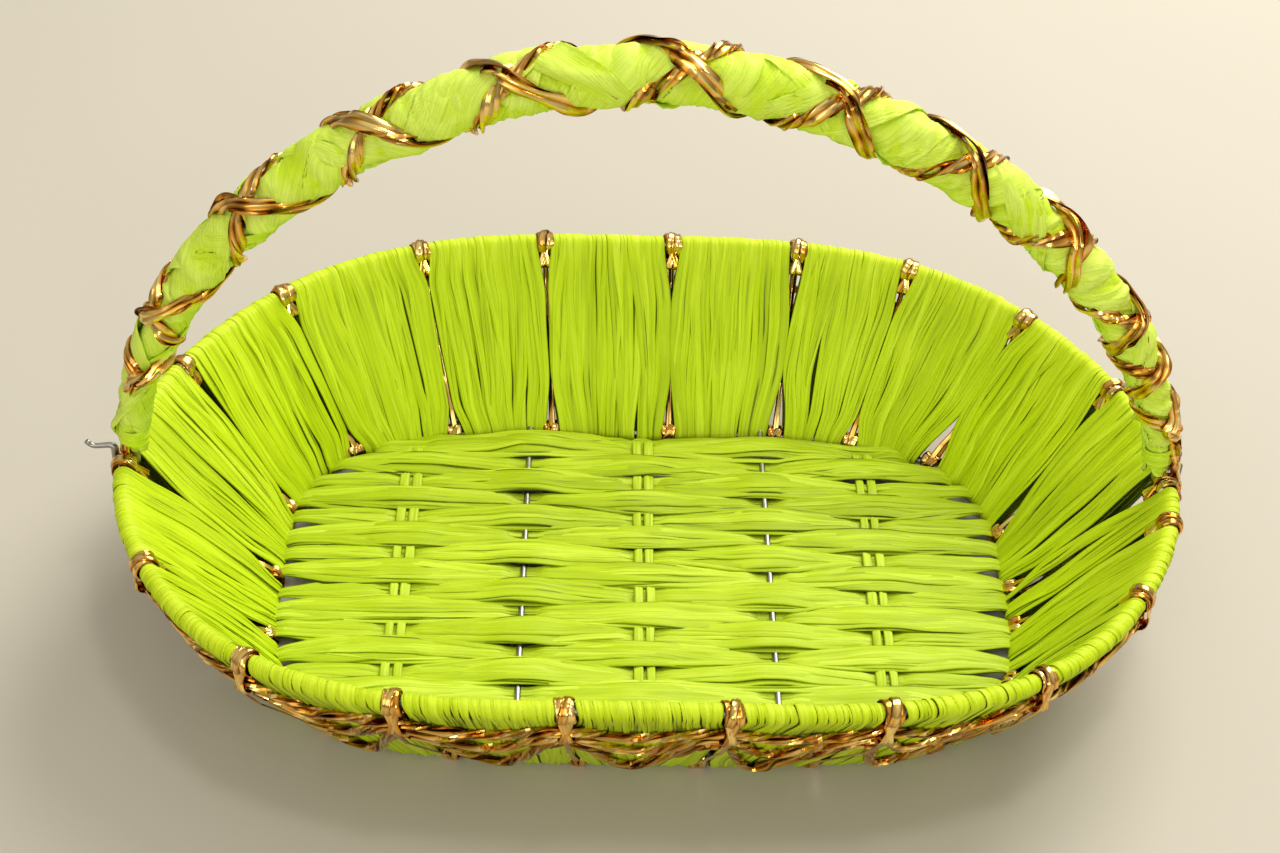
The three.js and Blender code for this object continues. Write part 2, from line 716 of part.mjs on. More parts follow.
function addPiece(group, name, geometry, look) {
  geometry.computeVertexNormals();
  const mesh = new THREE.Mesh(geometry, new THREE.MeshStandardMaterial(looks[look]));
  mesh.name = name;
  group.add(mesh);
}

const numbered = (i) => String(i + 1).padStart(2, '0');
const stations = gaps.flatMap((gap, i) => [gap.tie, ...panelStations(i).map(({ place }) => place)]);
const handleStations = stations.filter(({ rimShare }, i) => i === 0 || rimShare > stations[i - 1].rimShare);
addPiece(frame, 'rim_wire',
  wire(handleStations.map(({ rimShare }) => rim.at(rimShare)), rimWireRadius, upward, true), 'steel');
const footStations = gaps.flatMap((_, i) => panelStations(i).map(({ place }) => place));
addPiece(frame, 'base_wire',
  wire(footStations.map(({ baseShare }) => base.at(baseShare)), baseWireRadius, upward, true), 'steel');
addPiece(frame, 'handle_wire', wire(handleWirePoints(), handleWireRadius, across, false), 'steel');

const ribRooms = {};
for (const [side, { alongShare }] of Object.entries(ribs)) {
  const points = ribPoints(alongShare * baseHalfLength);
  addPiece(frame, `floor_rib_${side}`, wire(points, ribRadius, new THREE.Vector3(1, 0, 0), false), 'steel');
  const room = toSolid(wire(points, ribRadius + clearance, new THREE.Vector3(1, 0, 0), false));
  const backShare = backShareAt(alongShare * baseHalfLength);
  ribRooms[panelOver(backShare)] = room;
  ribRooms[panelOver(1 - backShare)] = room;
}

gaps.forEach((gap, i) => {
  const room = ribRooms[i];
  const panel = panelGeometry(i);
  addPiece(walls, `wall_panel_${numbered(i)}`,
    room ? fromSolid(toSolid(panel).subtract(room)) : panel, 'raffia');
  addPiece(trim, `wall_tie_${numbered(i)}`, tieGeometry(gap.tie), 'cord');
});

for (const [side, { alongShare }] of Object.entries(warps)) {
  const points = warpPoints(alongShare * baseHalfLength);
  const rings = tubeRings(points, warpStrandRadius, wireSides, [upward], true);
  addPiece(floor, `floor_warp_${side}`, loft(rings, true), 'raffia');
}
for (let row = 0; row < weftRows; row += weftRowsPerStrand) {
  addPiece(floor, `floor_weft_${row / weftRowsPerStrand + 1}`, weftStrand(row), 'raffia');
}

addPiece(handle, 'handle_wrap', loft(wrapRings, false), 'raffia');
addPiece(handle, 'foot_band_left', footBand(footBandRise), 'raffia');
addPiece(handle, 'foot_band_right', footBand(archLength - footBandRise - footBandHeight), 'raffia');
addPiece(handle, 'handle_cord_under', handleCord('under', 1, 0), 'cord');
addPiece(handle, 'handle_cord_over', handleCord('over', -1, 2 * cordRadius + crossingGap), 'cord');
for (const [name, swag] of Object.entries(swags)) {
  addPiece(trim, `garland_${name}`, swagCord(swag), 'cord');
}

// The basket stands in the middle of its own box
const middle = new THREE.Box3().setFromObject(basket).getCenter(new THREE.Vector3());
basket.traverse(({ geometry }) => geometry?.translate(-middle.x, -middle.y, 0));
console.log('moved to the middle by', -middle.x, -middle.y);

export default basket;
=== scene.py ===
import math

import bpy
import numpy as np
from mathutils import Matrix


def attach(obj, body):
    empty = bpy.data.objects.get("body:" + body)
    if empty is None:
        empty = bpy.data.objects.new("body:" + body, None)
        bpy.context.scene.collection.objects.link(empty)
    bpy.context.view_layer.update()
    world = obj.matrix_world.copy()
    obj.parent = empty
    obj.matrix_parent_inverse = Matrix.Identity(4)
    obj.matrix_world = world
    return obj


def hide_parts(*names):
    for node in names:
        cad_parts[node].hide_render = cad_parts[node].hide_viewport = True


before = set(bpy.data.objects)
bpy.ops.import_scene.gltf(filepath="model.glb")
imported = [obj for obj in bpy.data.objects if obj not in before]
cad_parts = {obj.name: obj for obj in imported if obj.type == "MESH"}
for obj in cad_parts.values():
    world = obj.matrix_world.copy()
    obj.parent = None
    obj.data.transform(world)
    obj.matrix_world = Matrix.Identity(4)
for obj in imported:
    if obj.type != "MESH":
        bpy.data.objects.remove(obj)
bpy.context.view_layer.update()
print("frame loaded:", len(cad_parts), "nodes")

# Shapes are worked out in millimetres from the middle of the rim, then moved and scaled into the frame
mm = 0.001
toMiddle = np.array([3.3335, 0.0479, 0.0])
pi = math.pi

clearance = 0.35
wires = {"rim": 1.6, "base": 1.5, "rib": 1.2, "handle": 1.6}
rimShape = {
    "halfLength": 187, "halfWidth": 128, "exponent": 2.47, "waves": 6, "waveShare": 0.014,
    "height": 65, "endDip": 3.9, "cornerRise": 1,
}
baseShape = {
    "halfLength": 140.3, "halfWidth": 86.7, "exponent": 3.59, "waves": 6, "waveShare": 0,
    "height": 2.8107, "endDip": 0, "cornerRise": 0,
}
floorHeight = 5.8607
cordOffset = 6.0107  # of the draped cords from the middle of the wall
tableSteps = {"ring": 4320, "arch": 3000}


def unit(v):
    return v / np.maximum(np.linalg.norm(v, axis=-1, keepdims=True), 1e-12)


def lerp(a, b, f):
    return a + (b - a) * f


def held(x):
    return np.clip(x, 0, 1)


def rampUp(x, start, run):
    return held((x - start) / run)


def eased(f):
    return f * f * (3 - 2 * f)


def roundAngles(count):
    return 2 * pi * np.arange(count) / count


# Random but repeatable curves

def seeded(seed):
    return np.random.RandomState(seed)


def wander(rng, count, knots, amount, closed=False, columns=None, sharp=False):
    # a random line through a few knots, or several side by side, smooth unless it is sharp
    values = rng.uniform(-amount, amount, (knots + 1, columns or 1))
    if closed:
        values[-1] = values[0]
    place = np.linspace(0, knots, count, endpoint=not closed)
    first = np.minimum(place.astype(int), knots - 1)
    f = (place - first)[:, None]
    f = f if sharp else eased(f)
    line = values[first] * (1 - f) + values[first + 1] * f
    return line if columns else line[:, 0]


def latticeValue(ix, iy, iz, seed):
    # a fixed random value from 0 to 1 for each corner of a grid
    mix = (ix * 374761393 + iy * 668265263 + iz * 2147483647 + seed * 974634777) & 0xFFFFFFFF
    mix = ((mix ^ (mix >> 13)) * 1274126177) & 0xFFFFFFFF
    return ((mix ^ (mix >> 16)) & 0xFFFF) / 65535.0


def lumps(points, size, seed):
    # soft lumps of about that size, from 0 to 1
    p = np.asarray(points, float) / size
    cell = np.floor(p).astype(np.int64)
    f = eased(p - cell)
    total = np.zeros(p.shape[:-1])
    for corner in np.ndindex(2, 2, 2):
        weight = 1
        for k in range(3):
            weight = weight * (f[..., k] if corner[k] else 1 - f[..., k])
        total += weight * latticeValue(*(cell[..., k] + corner[k] for k in range(3)), seed)
    return total


def folds(points, size, seed):
    # sharp ridges, as in crumpled paper, from 0 to 1
    return 1 - np.abs(2 * lumps(points, size, seed) - 1)


# Lines as tables of points by share of their length; a ring's table starts at the right end

def distancesAlong(path):
    return np.concatenate([[0], np.cumsum(np.linalg.norm(np.diff(path, axis=0), axis=1))])


def lineTable(points):
    along = distancesAlong(points)
    return {"points": points, "share": along / along[-1], "length": along[-1]}


def onLine(table, share):
    return np.stack([np.interp(share, table["share"], table["points"][:, k]) for k in range(3)], -1)


def ringTable(shape):
    t = np.linspace(0, 1, tableSteps["ring"] + 1)
    x, y = np.cos(2 * pi * t), np.sin(2 * pi * t)
    endwise = np.abs(x / shape["halfLength"]) ** shape["exponent"]
    sidewise = np.abs(y / shape["halfWidth"]) ** shape["exponent"]
    turn = np.arctan2(y / shape["halfWidth"], x / shape["halfLength"])
    waves = 1 + shape["waveShare"] * np.cos(shape["waves"] * turn)
    reach = waves * (endwise + sidewise) ** (-1 / shape["exponent"])
    lie = (endwise - sidewise) / (endwise + sidewise)  # 1 at the ends and -1 at the sides
    height = shape["height"] - shape["endDip"] * lie + shape["cornerRise"] * (2 * lie * lie - 1)
    return lineTable(np.stack([x * reach, y * reach, height], 1))


def onRing(ring, share):
    return onLine(ring, np.mod(share, 1))


def ringHeading(ring, share, step=7e-4):
    return unit(onRing(ring, np.asarray(share) + step) - onRing(ring, np.asarray(share) - step))


rim, base = ringTable(rimShape), ringTable(baseShape)
rimEnd = onRing(rim, 0)


def wallAt(rimShare, baseShare):
    top, bottom = onRing(rim, rimShare), onRing(base, baseShare)
    along = unit(ringHeading(rim, rimShare) + ringHeading(base, baseShare))
    rise = unit(top - bottom)
    out = unit(np.cross(along, rise))
    return {"top": top, "bottom": bottom, "along": along, "rise": rise, "out": out}


def onWall(wall, height, offset):
    height, offset = np.asarray(height)[..., None], np.asarray(offset)[..., None]
    return lerp(wall["bottom"], wall["top"], height) + wall["out"] * offset


# Gaps between the panels and the ties in them

panelShares = [
    0.048, 0.049, 0.05, 0.044, 0.049, 0.05, 0.048, 0.057, 0.053, 0.052,
    0.056, 0.06, 0.053, 0.054, 0.052, 0.05, 0.054, 0.056, 0.04, 0.025,
]
footGapShares = [
    -0.002, 0.036, 0.1, 0.143, 0.182, 0.237, 0.297, 0.347, 0.4, 0.455,
    0.502, 0.542, 0.606, 0.664, 0.72, 0.773, 0.823, 0.88, 0.936, 0.972,
]
panelCount = len(panelShares)
handleGaps = (0, 10)  # the handle's feet stand in these
gapShape = {"atRim": 6.4, "handleAtRim": 12.0, "atBase": 5.0, "setForward": 2.6, "tieShift": 2.2}


def gapTable():
    gaps = []
    for i in range(panelCount):
        atHandle = i in handleGaps
        forward = (-1 if i == 0 else 1) / rim["length"] if atHandle else 0
        start = sum(panelShares[:i]) + forward * gapShape["setForward"]
        gaps.append({
            "number": i, "rim": start, "tie": start + forward * gapShape["tieShift"],
            "base": footGapShares[i], "atHandle": atHandle,
            "halfRim": gapShape["handleAtRim" if atHandle else "atRim"] / 2,
            "halfBase": gapShape["atBase"] / 2,
        })
    return gaps


gaps = gapTable()


def gapAfter(i):
    # the gap past panel i, with its shares running on past one turn
    gap = dict(gaps[(i + 1) % panelCount])
    if i + 1 == panelCount:
        for key in ("rim", "tie", "base"):
            gap[key] += 1
    return gap


def panelEdges(i):
    return [{
        "rim": gap["rim"] + inward * gap["halfRim"] / rim["length"],
        "base": gap["base"] + inward * gap["halfBase"] / base["length"],
    } for gap, inward in ((gaps[i], 1), (gapAfter(i), -1))]


# Making of meshes: strands are swept rings of points, gathered into one piece

mapLook = {"apart": 7.3, "spareLength": 2, "spareGirth": 1, "spareSide": 1.06, "spareHeight": 1.001}


class Weave:
    def __init__(self):
        self.points, self.quads, self.caps = [], [], []
        self.strandUv, self.mapUv, self.tone = [], [], []
        self.count = 0

    def add(self, rings, closed, tone):
        n, m, _ = rings.shape
        spans = n if closed else n - 1
        i = np.arange(spans)[:, None]
        j = np.arange(m)[None, :]
        here, after = i * m, ((i + 1) % n) * m
        nextJ = (j + 1) % m
        quads = np.stack([here + j, here + nextJ, after + nextJ, after + j], -1).reshape(-1, 4)
        middle = rings.mean(1)
        along = distancesAlong(np.concatenate([middle, middle[:1]]))
        size = np.linalg.norm(np.roll(rings, -1, 1) - rings, axis=2).mean(0)
        around = np.concatenate([[0], np.cumsum(size)])
        u0, u1 = along[:spans, None] + 0 * j, along[1:spans + 1, None] + 0 * j
        v0, v1 = around[None, :m] + 0 * i, around[None, 1:] + 0 * i
        offset = mapLook["apart"] * len(self.points)  # no two strands have the same streaks
        corners = ((u0, v0), (u0, v1), (u1, v1), (u1, v0))
        uv = np.stack([np.stack([u, v + offset], -1) for u, v in corners], 2).reshape(-1, 4, 2)
        tone = np.asarray(tone, float)
        tone = tone if tone.ndim == 2 else tone.reshape(-1, 1)
        if not closed:
            self.caps += [np.arange(m)[::-1] + self.count, np.arange(m) + self.count + (n - 1) * m]
        self.points.append(rings.reshape(-1, 3))
        self.quads.append(quads + self.count)
        self.strandUv.append(uv)
        self.mapUv.append((uv - [0, offset], along[spans], around[-1]))
        self.tone.append(np.broadcast_to(tone, (n, m)).ravel())
        self.count += n * m

    def bakeUv(self):
        # every strand's own strip of the square, side by side and in columns
        room = [(length + mapLook["spareLength"], girth + mapLook["spareGirth"])
                for _, length, girth in self.mapUv]
        area = sum(length * girth for length, girth in room)
        side = max(math.sqrt(area) * mapLook["spareSide"], max(length for length, _ in room))
        placed, x, y, columnWidth = [], 0.0, 0.0, 0.0
        for (uv, _, _), (length, girth) in zip(self.mapUv, room):
            if y + girth > side and y > 0:
                x, y, columnWidth = x + columnWidth, 0.0, 0.0
            columnWidth = max(columnWidth, length)
            placed.append(uv + [x + mapLook["spareLength"] / 2, y + mapLook["spareGirth"] / 2])
            y += girth
        return np.concatenate(placed) / [max(side, x + columnWidth), side * mapLook["spareHeight"]]


def makePiece(name, weave, finish, node, smoothAngle=None):
    material, slotName = finish
    points = (np.concatenate(weave.points) + toMiddle) * mm
    faces = np.concatenate(weave.quads).tolist() + [cap.tolist() for cap in weave.caps]
    mesh = bpy.data.meshes.new(name)
    mesh.from_pydata(points, [], faces)
    for layer, uv, scale in (("strand", np.concatenate(weave.strandUv), mm), ("OFBake", weave.bakeUv(), 1)):
        loops = uv.reshape(-1, 2) * scale
        spare = len(mesh.loops) - len(loops)
        if spare:  # the caps
            loops = np.concatenate([loops, np.repeat(loops[-1:], spare, 0)])
        mesh.uv_layers.new(name=layer).data.foreach_set("uv", loops.ravel())
    tone = mesh.attributes.new("tone", "FLOAT", "POINT")
    tone.data.foreach_set("value", np.concatenate(weave.tone))
    mesh.polygons.foreach_set("use_smooth", np.ones(len(mesh.polygons), bool))
    if smoothAngle is not None:
        mesh.set_sharp_from_angle(angle=math.radians(smoothAngle))
    mesh.materials.append(material)
    mesh.validate()
    piece = bpy.data.objects.new(name, mesh)
    bpy.context.scene.collection.objects.link(piece)
    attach(piece, "root")
    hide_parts(node)
    return piece


def headings(path, closed):
    if closed:
        return unit(np.roll(path, -1, 0) - np.roll(path, 1, 0))
    return unit(np.gradient(path, axis=0))


def sweep(path, normal, section, closed, tilt=0):
    # rings of points: section holds (across, up) for each point of each ring
    ahead = headings(path, closed)
    side = unit(np.cross(ahead, normal))
    up = np.cross(side, ahead)
    turn = np.broadcast_to(np.asarray(tilt, float), (len(path),))[:, None]
    side, up = side * np.cos(turn) + up * np.sin(turn), up * np.cos(turn) - side * np.sin(turn)
    return path[:, None] + side[:, None] * section[..., 0:1] + up[:, None] * section[..., 1:2]


def upright(path):
    return np.broadcast_to([0, 0, 1.0], path.shape)


ribbon = {
    "topPoints": 9, "backPoints": 3, "edgeBend": 0.35, "flat": 0.25, "edgeHeight": 0.1, "domeHeight": 0.6,
    "edgeFurrow": 0.3, "shift": 0.05, "backHalf": 0.36, "backDepth": 0.3,
    # below, the furrows' tone differs at random, and the rest is painted shade in the slits between strands
    "lineTone": 0.14, "shadedEdgeTone": 0.45, "shadedEdgeSpread": 1.1, "besideEdgeShade": 0.12, "furrowShade": 0.4,
}


def ribbonSection(rng, count, width, thickness, crease, closed, knots=9):
    # a flattened, creased ribbon: nearly flat and furrowed on top, with steep edges, and plain behind
    top = ribbon["topPoints"]
    width = np.broadcast_to(width, (count,))[:, None]
    thickness = np.broadcast_to(thickness, (count,))[:, None]
    lie = np.linspace(-1, 1, top)
    across = 0.5 * np.sin(lie ** 3 * ribbon["edgeBend"] + lie * (pi / 2 - ribbon["edgeBend"]))
    dome = np.maximum(0, 1 - (2 * across) ** 2) ** ribbon["flat"]
    deep = ribbon["edgeFurrow"] + (1 - ribbon["edgeFurrow"]) * dome
    furrows = wander(rng, count, knots, crease, closed, top) * deep
    shift = wander(rng, count, knots, ribbon["shift"], closed, top) * dome
    high = (ribbon["edgeHeight"] + ribbon["domeHeight"] * dome) * thickness + furrows
    under = np.linspace(ribbon["backHalf"], -ribbon["backHalf"], ribbon["backPoints"])
    low = -ribbon["backDepth"] * thickness + 0 * width * under
    return np.concatenate([
        np.stack([(across + shift) * width, high], -1), np.stack([under * width, low], -1),
    ], 1)


def ribbonTone(rng, count, tone, edgeShadeAmount, closed, knots=9):
    # each point's tone: furrows differ a little at random, and painted shade darkens the edges along parts
    # of their length, one furrow on top, and the underside
    top = ribbon["topPoints"]
    tone = np.broadcast_to(tone, (count,))[:, None]
    lines = tone + wander(rng, count, knots, ribbon["lineTone"], closed, top)
    along = wander(rng, count, knots + 3, ribbon["shadedEdgeSpread"], closed, 3)
    dark = held(ribbon["shadedEdgeTone"] + along) * edgeShadeAmount
    lines[:, [0, -1]] -= dark[:, :2]
    lines[:, [1, -2]] -= ribbon["besideEdgeShade"] * dark[:, :2]
    lines[:, rng.randint(3, top - 3)] -= ribbon["furrowShade"] * dark[:, 2]
    return np.concatenate([lines, np.repeat(tone - edgeShadeAmount, ribbon["backPoints"], 1)], 1)


def roundSection(sides, radius):
    angle = roundAngles(sides)
    return np.stack([radius * np.cos(angle), radius * np.sin(angle)], -1)


# Materials

def srgb(r, g, b):
    def toLinear(c):
        c /= 255
        return c / 12.92 if c <= 0.04045 else ((c + 0.055) / 1.055) ** 2.4
    return (toLinear(r), toLinear(g), toLinear(b), 1)


class Nodes:
    def __init__(self, name):
        self.material = bpy.data.materials.new(name)
        self.material.use_nodes = True
        self.tree = self.material.node_tree
        self.shader = self.tree.nodes["Principled BSDF"]

    def fill(self, node, inputs):
        for key, value in inputs.items():
            self.feed(node.inputs[key.replace("_", " ")], value)

    def add(self, kind, settings=None, **inputs):
        node = self.tree.nodes.new(kind)
        for key, value in (settings or {}).items():
            setattr(node, key, value)
        self.fill(node, inputs)
        return node

    def feed(self, socket, value):
        if isinstance(value, bpy.types.NodeSocket):
            self.tree.links.new(value, socket)
        else:
            socket.default_value = value

    def finish(self, **inputs):
        self.fill(self.shader, inputs)
        return self.material

    def strand(self):
        return self.add("ShaderNodeUVMap", {"uv_map": "strand"}).outputs[0]

    def place(self):
        return self.add("ShaderNodeTexCoord").outputs["Object"]

    def tone(self):
        return self.add("ShaderNodeAttribute", {"attribute_name": "tone"}).outputs["Fac"]

    def noise(self, vector, scale, detail=2.0, roughness=0.5, distortion=0.0):
        node = self.add("ShaderNodeTexNoise", Vector=vector, Scale=scale, Detail=detail,
                        Roughness=roughness, Distortion=distortion)
        return node.outputs[0]

    def streaks(self, strand, along, across, detail, roughness, distortion=0.0):
        # noise drawn out along the strand
        stretched = self.add("ShaderNodeMapping", Vector=strand, Scale=(along, across, 1))
        return self.noise(stretched.outputs[0], 1.0, detail, roughness, distortion)

    def ramp(self, value, stops):
        node = self.add("ShaderNodeValToRGB", Fac=value)
        ends = node.color_ramp.elements
        while len(ends) < len(stops):
            ends.new(0.5)
        for end, (place, colour) in zip(ends, stops):
            end.position = place
            end.color = colour
        return node.outputs[0]

    def mixColour(self, factor, a, b, blend="MIX"):
        node = self.add("ShaderNodeMix", {"data_type": "RGBA", "blend_type": blend})
        self.feed(node.inputs[0], factor)
        self.feed(node.inputs[6], a)
        self.feed(node.inputs[7], b)
        return node.outputs[2]

    def range(self, value, low, high):
        node = self.add("ShaderNodeMapRange", Value=value)
        self.feed(node.inputs["To Min"], low)
        self.feed(node.inputs["To Max"], high)
        return node.outputs[0]

    def bump(self, height, distance, normal=None):
        node = self.add("ShaderNodeBump", Height=height, Distance=distance, Strength=1.0)
        if normal is not None:
            self.feed(node.inputs["Normal"], normal)
        return node.outputs[0]


raffiaLook = {
    # the first colour is painted shade, for the slits between strands
    "slitShadeColour": srgb(56, 74, 0), "deep": srgb(166, 188, 0), "plain": srgb(198, 222, 0),
    "pale": srgb(222, 242, 56), "deepAt": 0.16, "roughness": (0.42, 0.62),
    "streaks": (30, 1300), "streakMix": (-0.7, 1.1), "crease": 0.00014,
    "fine": (180, 4200), "fineCrease": 0.00008, "blotches": 38, "blotchMix": (-0.3, 0.35),
    "sheen": 0.02, "sheenRoughness": 0.4, "specular": 0.23, "wrinkles": 260, "wrinkleDepth": 0,
}
# the floor's raffia is a darker copy of the wall's, painted shade against the stronger light on its upward
# face
shadedFloorLook = dict(raffiaLook, deep=srgb(148, 168, 0), plain=srgb(180, 202, 0), pale=srgb(212, 232, 66))
# the handle's raffia is a lighter, paler copy of the wall's: painted light and sheen from above
litHandleLook = dict(raffiaLook, deep=srgb(174, 201, 8), plain=srgb(211, 239, 36), pale=srgb(230, 250, 106),
                  wrinkleDepth=0.0003)


def raffiaMaterial(name, look):
    n = Nodes(name)
    strand, tone, place = n.strand(), n.tone(), n.place()
    streaks = n.streaks(strand, *look["streaks"], 3, 0.6)
    fine = n.streaks(strand, *look["fine"], 2, 0.6)
    blotches = n.noise(place, look["blotches"], 2)
    # tone 0 is the painted shade of the slits between strands
    colour = n.ramp(tone, [
        (0.0, look["slitShadeColour"]), (look["deepAt"], look["deep"]), (0.5, look["plain"]), (1.0, look["pale"]),
    ])
    colour = n.mixColour(n.range(streaks, *look["streakMix"]), colour, look["deep"])
    colour = n.mixColour(n.range(blotches, *look["blotchMix"]), colour, look["pale"])
    normal = n.bump(streaks, look["crease"])
    normal = n.bump(fine, look["fineCrease"], normal)
    if look["wrinkleDepth"]:
        normal = n.bump(n.noise(place, look["wrinkles"], 3, 0.65, 1.2), look["wrinkleDepth"], normal)
    return n.finish(
        Base_Color=colour, Roughness=n.range(fine, *look["roughness"]), Sheen_Weight=look["sheen"],
        Sheen_Roughness=look["sheenRoughness"], Specular_IOR_Level=look["specular"], Normal=normal,
    )


foilLook = {
    # the ramp holds random tone and the painted shade and highlights of the folds
    "bright": srgb(255, 222, 136), "plain": srgb(238, 165, 56), "dark": srgb(90, 42, 4),
    "roughness": (0.14, 0.27), "stains": 120, "folds": (40, 420), "creaseShadeMix": (-1.4, 1.6), "crease": 0.0005,
}


def foilMaterial(name, look):
    n = Nodes(name)
    creases = n.streaks(n.strand(), *look["folds"], 1, 0.5, 0.2)
    colour = n.ramp(n.tone(), [(0.0, look["dark"]), (0.5, look["plain"]), (1.0, look["bright"])])
    return n.finish(
        # the fine creases get painted shade
        Base_Color=n.mixColour(n.range(creases, *look["creaseShadeMix"]), colour, look["dark"]), Metallic=1.0,
        Roughness=n.range(n.noise(n.place(), look["stains"], 2), *look["roughness"]),
        Normal=n.bump(creases, look["crease"]),
    )


steelLook = {
    "plain": srgb(188, 186, 176), "dull": srgb(112, 108, 98), "roughness": (0.28, 0.45),
    "stains": 90, "stainMix": (-0.3, 1.1), "drawn": (30, 5000), "crease": 0.00004,
}


def steelMaterial(name, look):
    n = Nodes(name)
    stains = n.noise(n.place(), look["stains"], 4, 0.65)
    colour = n.mixColour(n.range(stains, *look["stainMix"]), look["plain"], look["dull"])
    return n.finish(
        Base_Color=colour, Metallic=1.0, Roughness=n.range(stains, *look["roughness"]),
        Normal=n.bump(n.streaks(n.strand(), *look["drawn"], 3, 0.6), look["crease"]),
    )


# each finish with its slot
wallRaffia = (raffiaMaterial("raffia_wall", raffiaLook), "raffia")
floorRaffia = (raffiaMaterial("raffia_floor", shadedFloorLook), "raffia")
handleRaffia = (raffiaMaterial("raffia_handle", litHandleLook), "raffia")
goldFoil = (foilMaterial("gold_foil", foilLook), "metallic_cord")
wireSteel = (steelMaterial("drawn_steel", steelLook), "steel_wire")
print("materials made")


# Wall panels: raffia wound over the rim wire and under the base wire

panelLook = {
    "strandPitch": 2.7, "fewest": 5, "overlap": 1.4, "narrowest": 0.9, "thickness": 0.85, "crease": 0.09,
    "upSteps": 22, "arcSteps": 7, "downSteps": 12, "midRadius": 2.75, "puff": 0.5, "underside": 0.45,
    "shares": (0.45, 1.55), "depths": (-0.35, 0.1), "tones": (0.3, 0.6), "drift": 0.5,
    # a sparser layer that slants over the first
    "topCount": 0.9, "topAt": (0.03, 0.97), "topKept": (0.02, 0.98), "topWidth": 0.95, "topThickness": 0.85,
    "topShares": (0.4, 1.1), "topDepths": (0.15, 0.5), "topTones": (0.35, 0.75), "slant": 2.8,
    # how a strand strays on its way round
    "stray": 0.2, "rough": 0.2, "widthSpread": 0.2, "tilt": 0.2, "tiltEach": 0.12, "slitsApart": 0.5,
    # the foot's strands gather into two or three bundles
    "cuts": (0.2, 0.8), "twoCutsFrom": 38, "bundleGap": 1.6, "bundleReach": 0.4,
    # neat over the rim and paler there, as raffia stretched thin and partly as a painted highlight; combed
    # apart below it outside, with painted shade there, and more painted shade along the strands' edges in
    # both places
    "neat": (0.88, 0.12), "neatDepth": 0.35, "neatWidth": 0.16, "neatTilt": 0.8, "paleRimAndHighlight": 0.26,
    "combed": (0.6, 0.3), "comb": 0.2, "shadedOutside": 0.3, "edgeShading": 0.85, "darker": 0.3,
    # the gaps close up halfway
    "closedHalf": 0.3, "handleClosedHalf": 0.35, "closesAt": (0.16, 0.36), "opensAt": (0.5, 0.8),
    "closedRun": 0.1, "footWider": 0.6, "openFoot": {1: (0.56, 1.5), 2: (0.44, 2.6), 4: (0.4, 1.2)},
}


def easedThrough(x, places, values):
    # values at places, joined by curves that leave and arrive level
    places, values = np.asarray(places, float), np.asarray(values, float)
    i = np.clip(np.searchsorted(places, x) - 1, 0, len(places) - 2)
    return lerp(values[i], values[i + 1], eased(rampUp(x, places[i], places[i + 1] - places[i])))


def edgeBow(gap, height, look):
    # how far a panel's edge leans into its gap
    rng = seeded(gap["number"] + 40)
    closed = look["handleClosedHalf" if gap["atHandle"] else "closedHalf"]
    usual = rng.uniform(*look["closesAt"]), look["footWider"]
    closesAt, wider = look["openFoot"].get(gap["number"], usual)
    stops = [0, closesAt, max(closesAt + look["closedRun"], rng.uniform(*look["opensAt"])), 1]
    wanted = easedThrough(height, stops, [gap["halfBase"] + wider, closed, closed, gap["halfRim"]])
    return wanted - lerp(gap["halfBase"], gap["halfRim"], height)


def loopTable(look):
    # once round a panel, as height, outward, rising and part
    arc = pi * np.arange(look["arcSteps"] + 1) / look["arcSteps"]
    up, down = ((np.arange(look[key]) + 0.5) / look[key] for key in ("upSteps", "downSteps"))
    parts = (
        (up, -1.0, 0.0), (1.0, -np.cos(arc), np.sin(arc)),  # up the inside, over the rim
        (1 - down, 1.0, 0.0), (0.0, np.cos(arc), -np.sin(arc)),  # down the outside, under the base wire
    )
    return np.concatenate([np.stack(np.broadcast_arrays(*part, k)) for k, part in enumerate(parts)], 1)


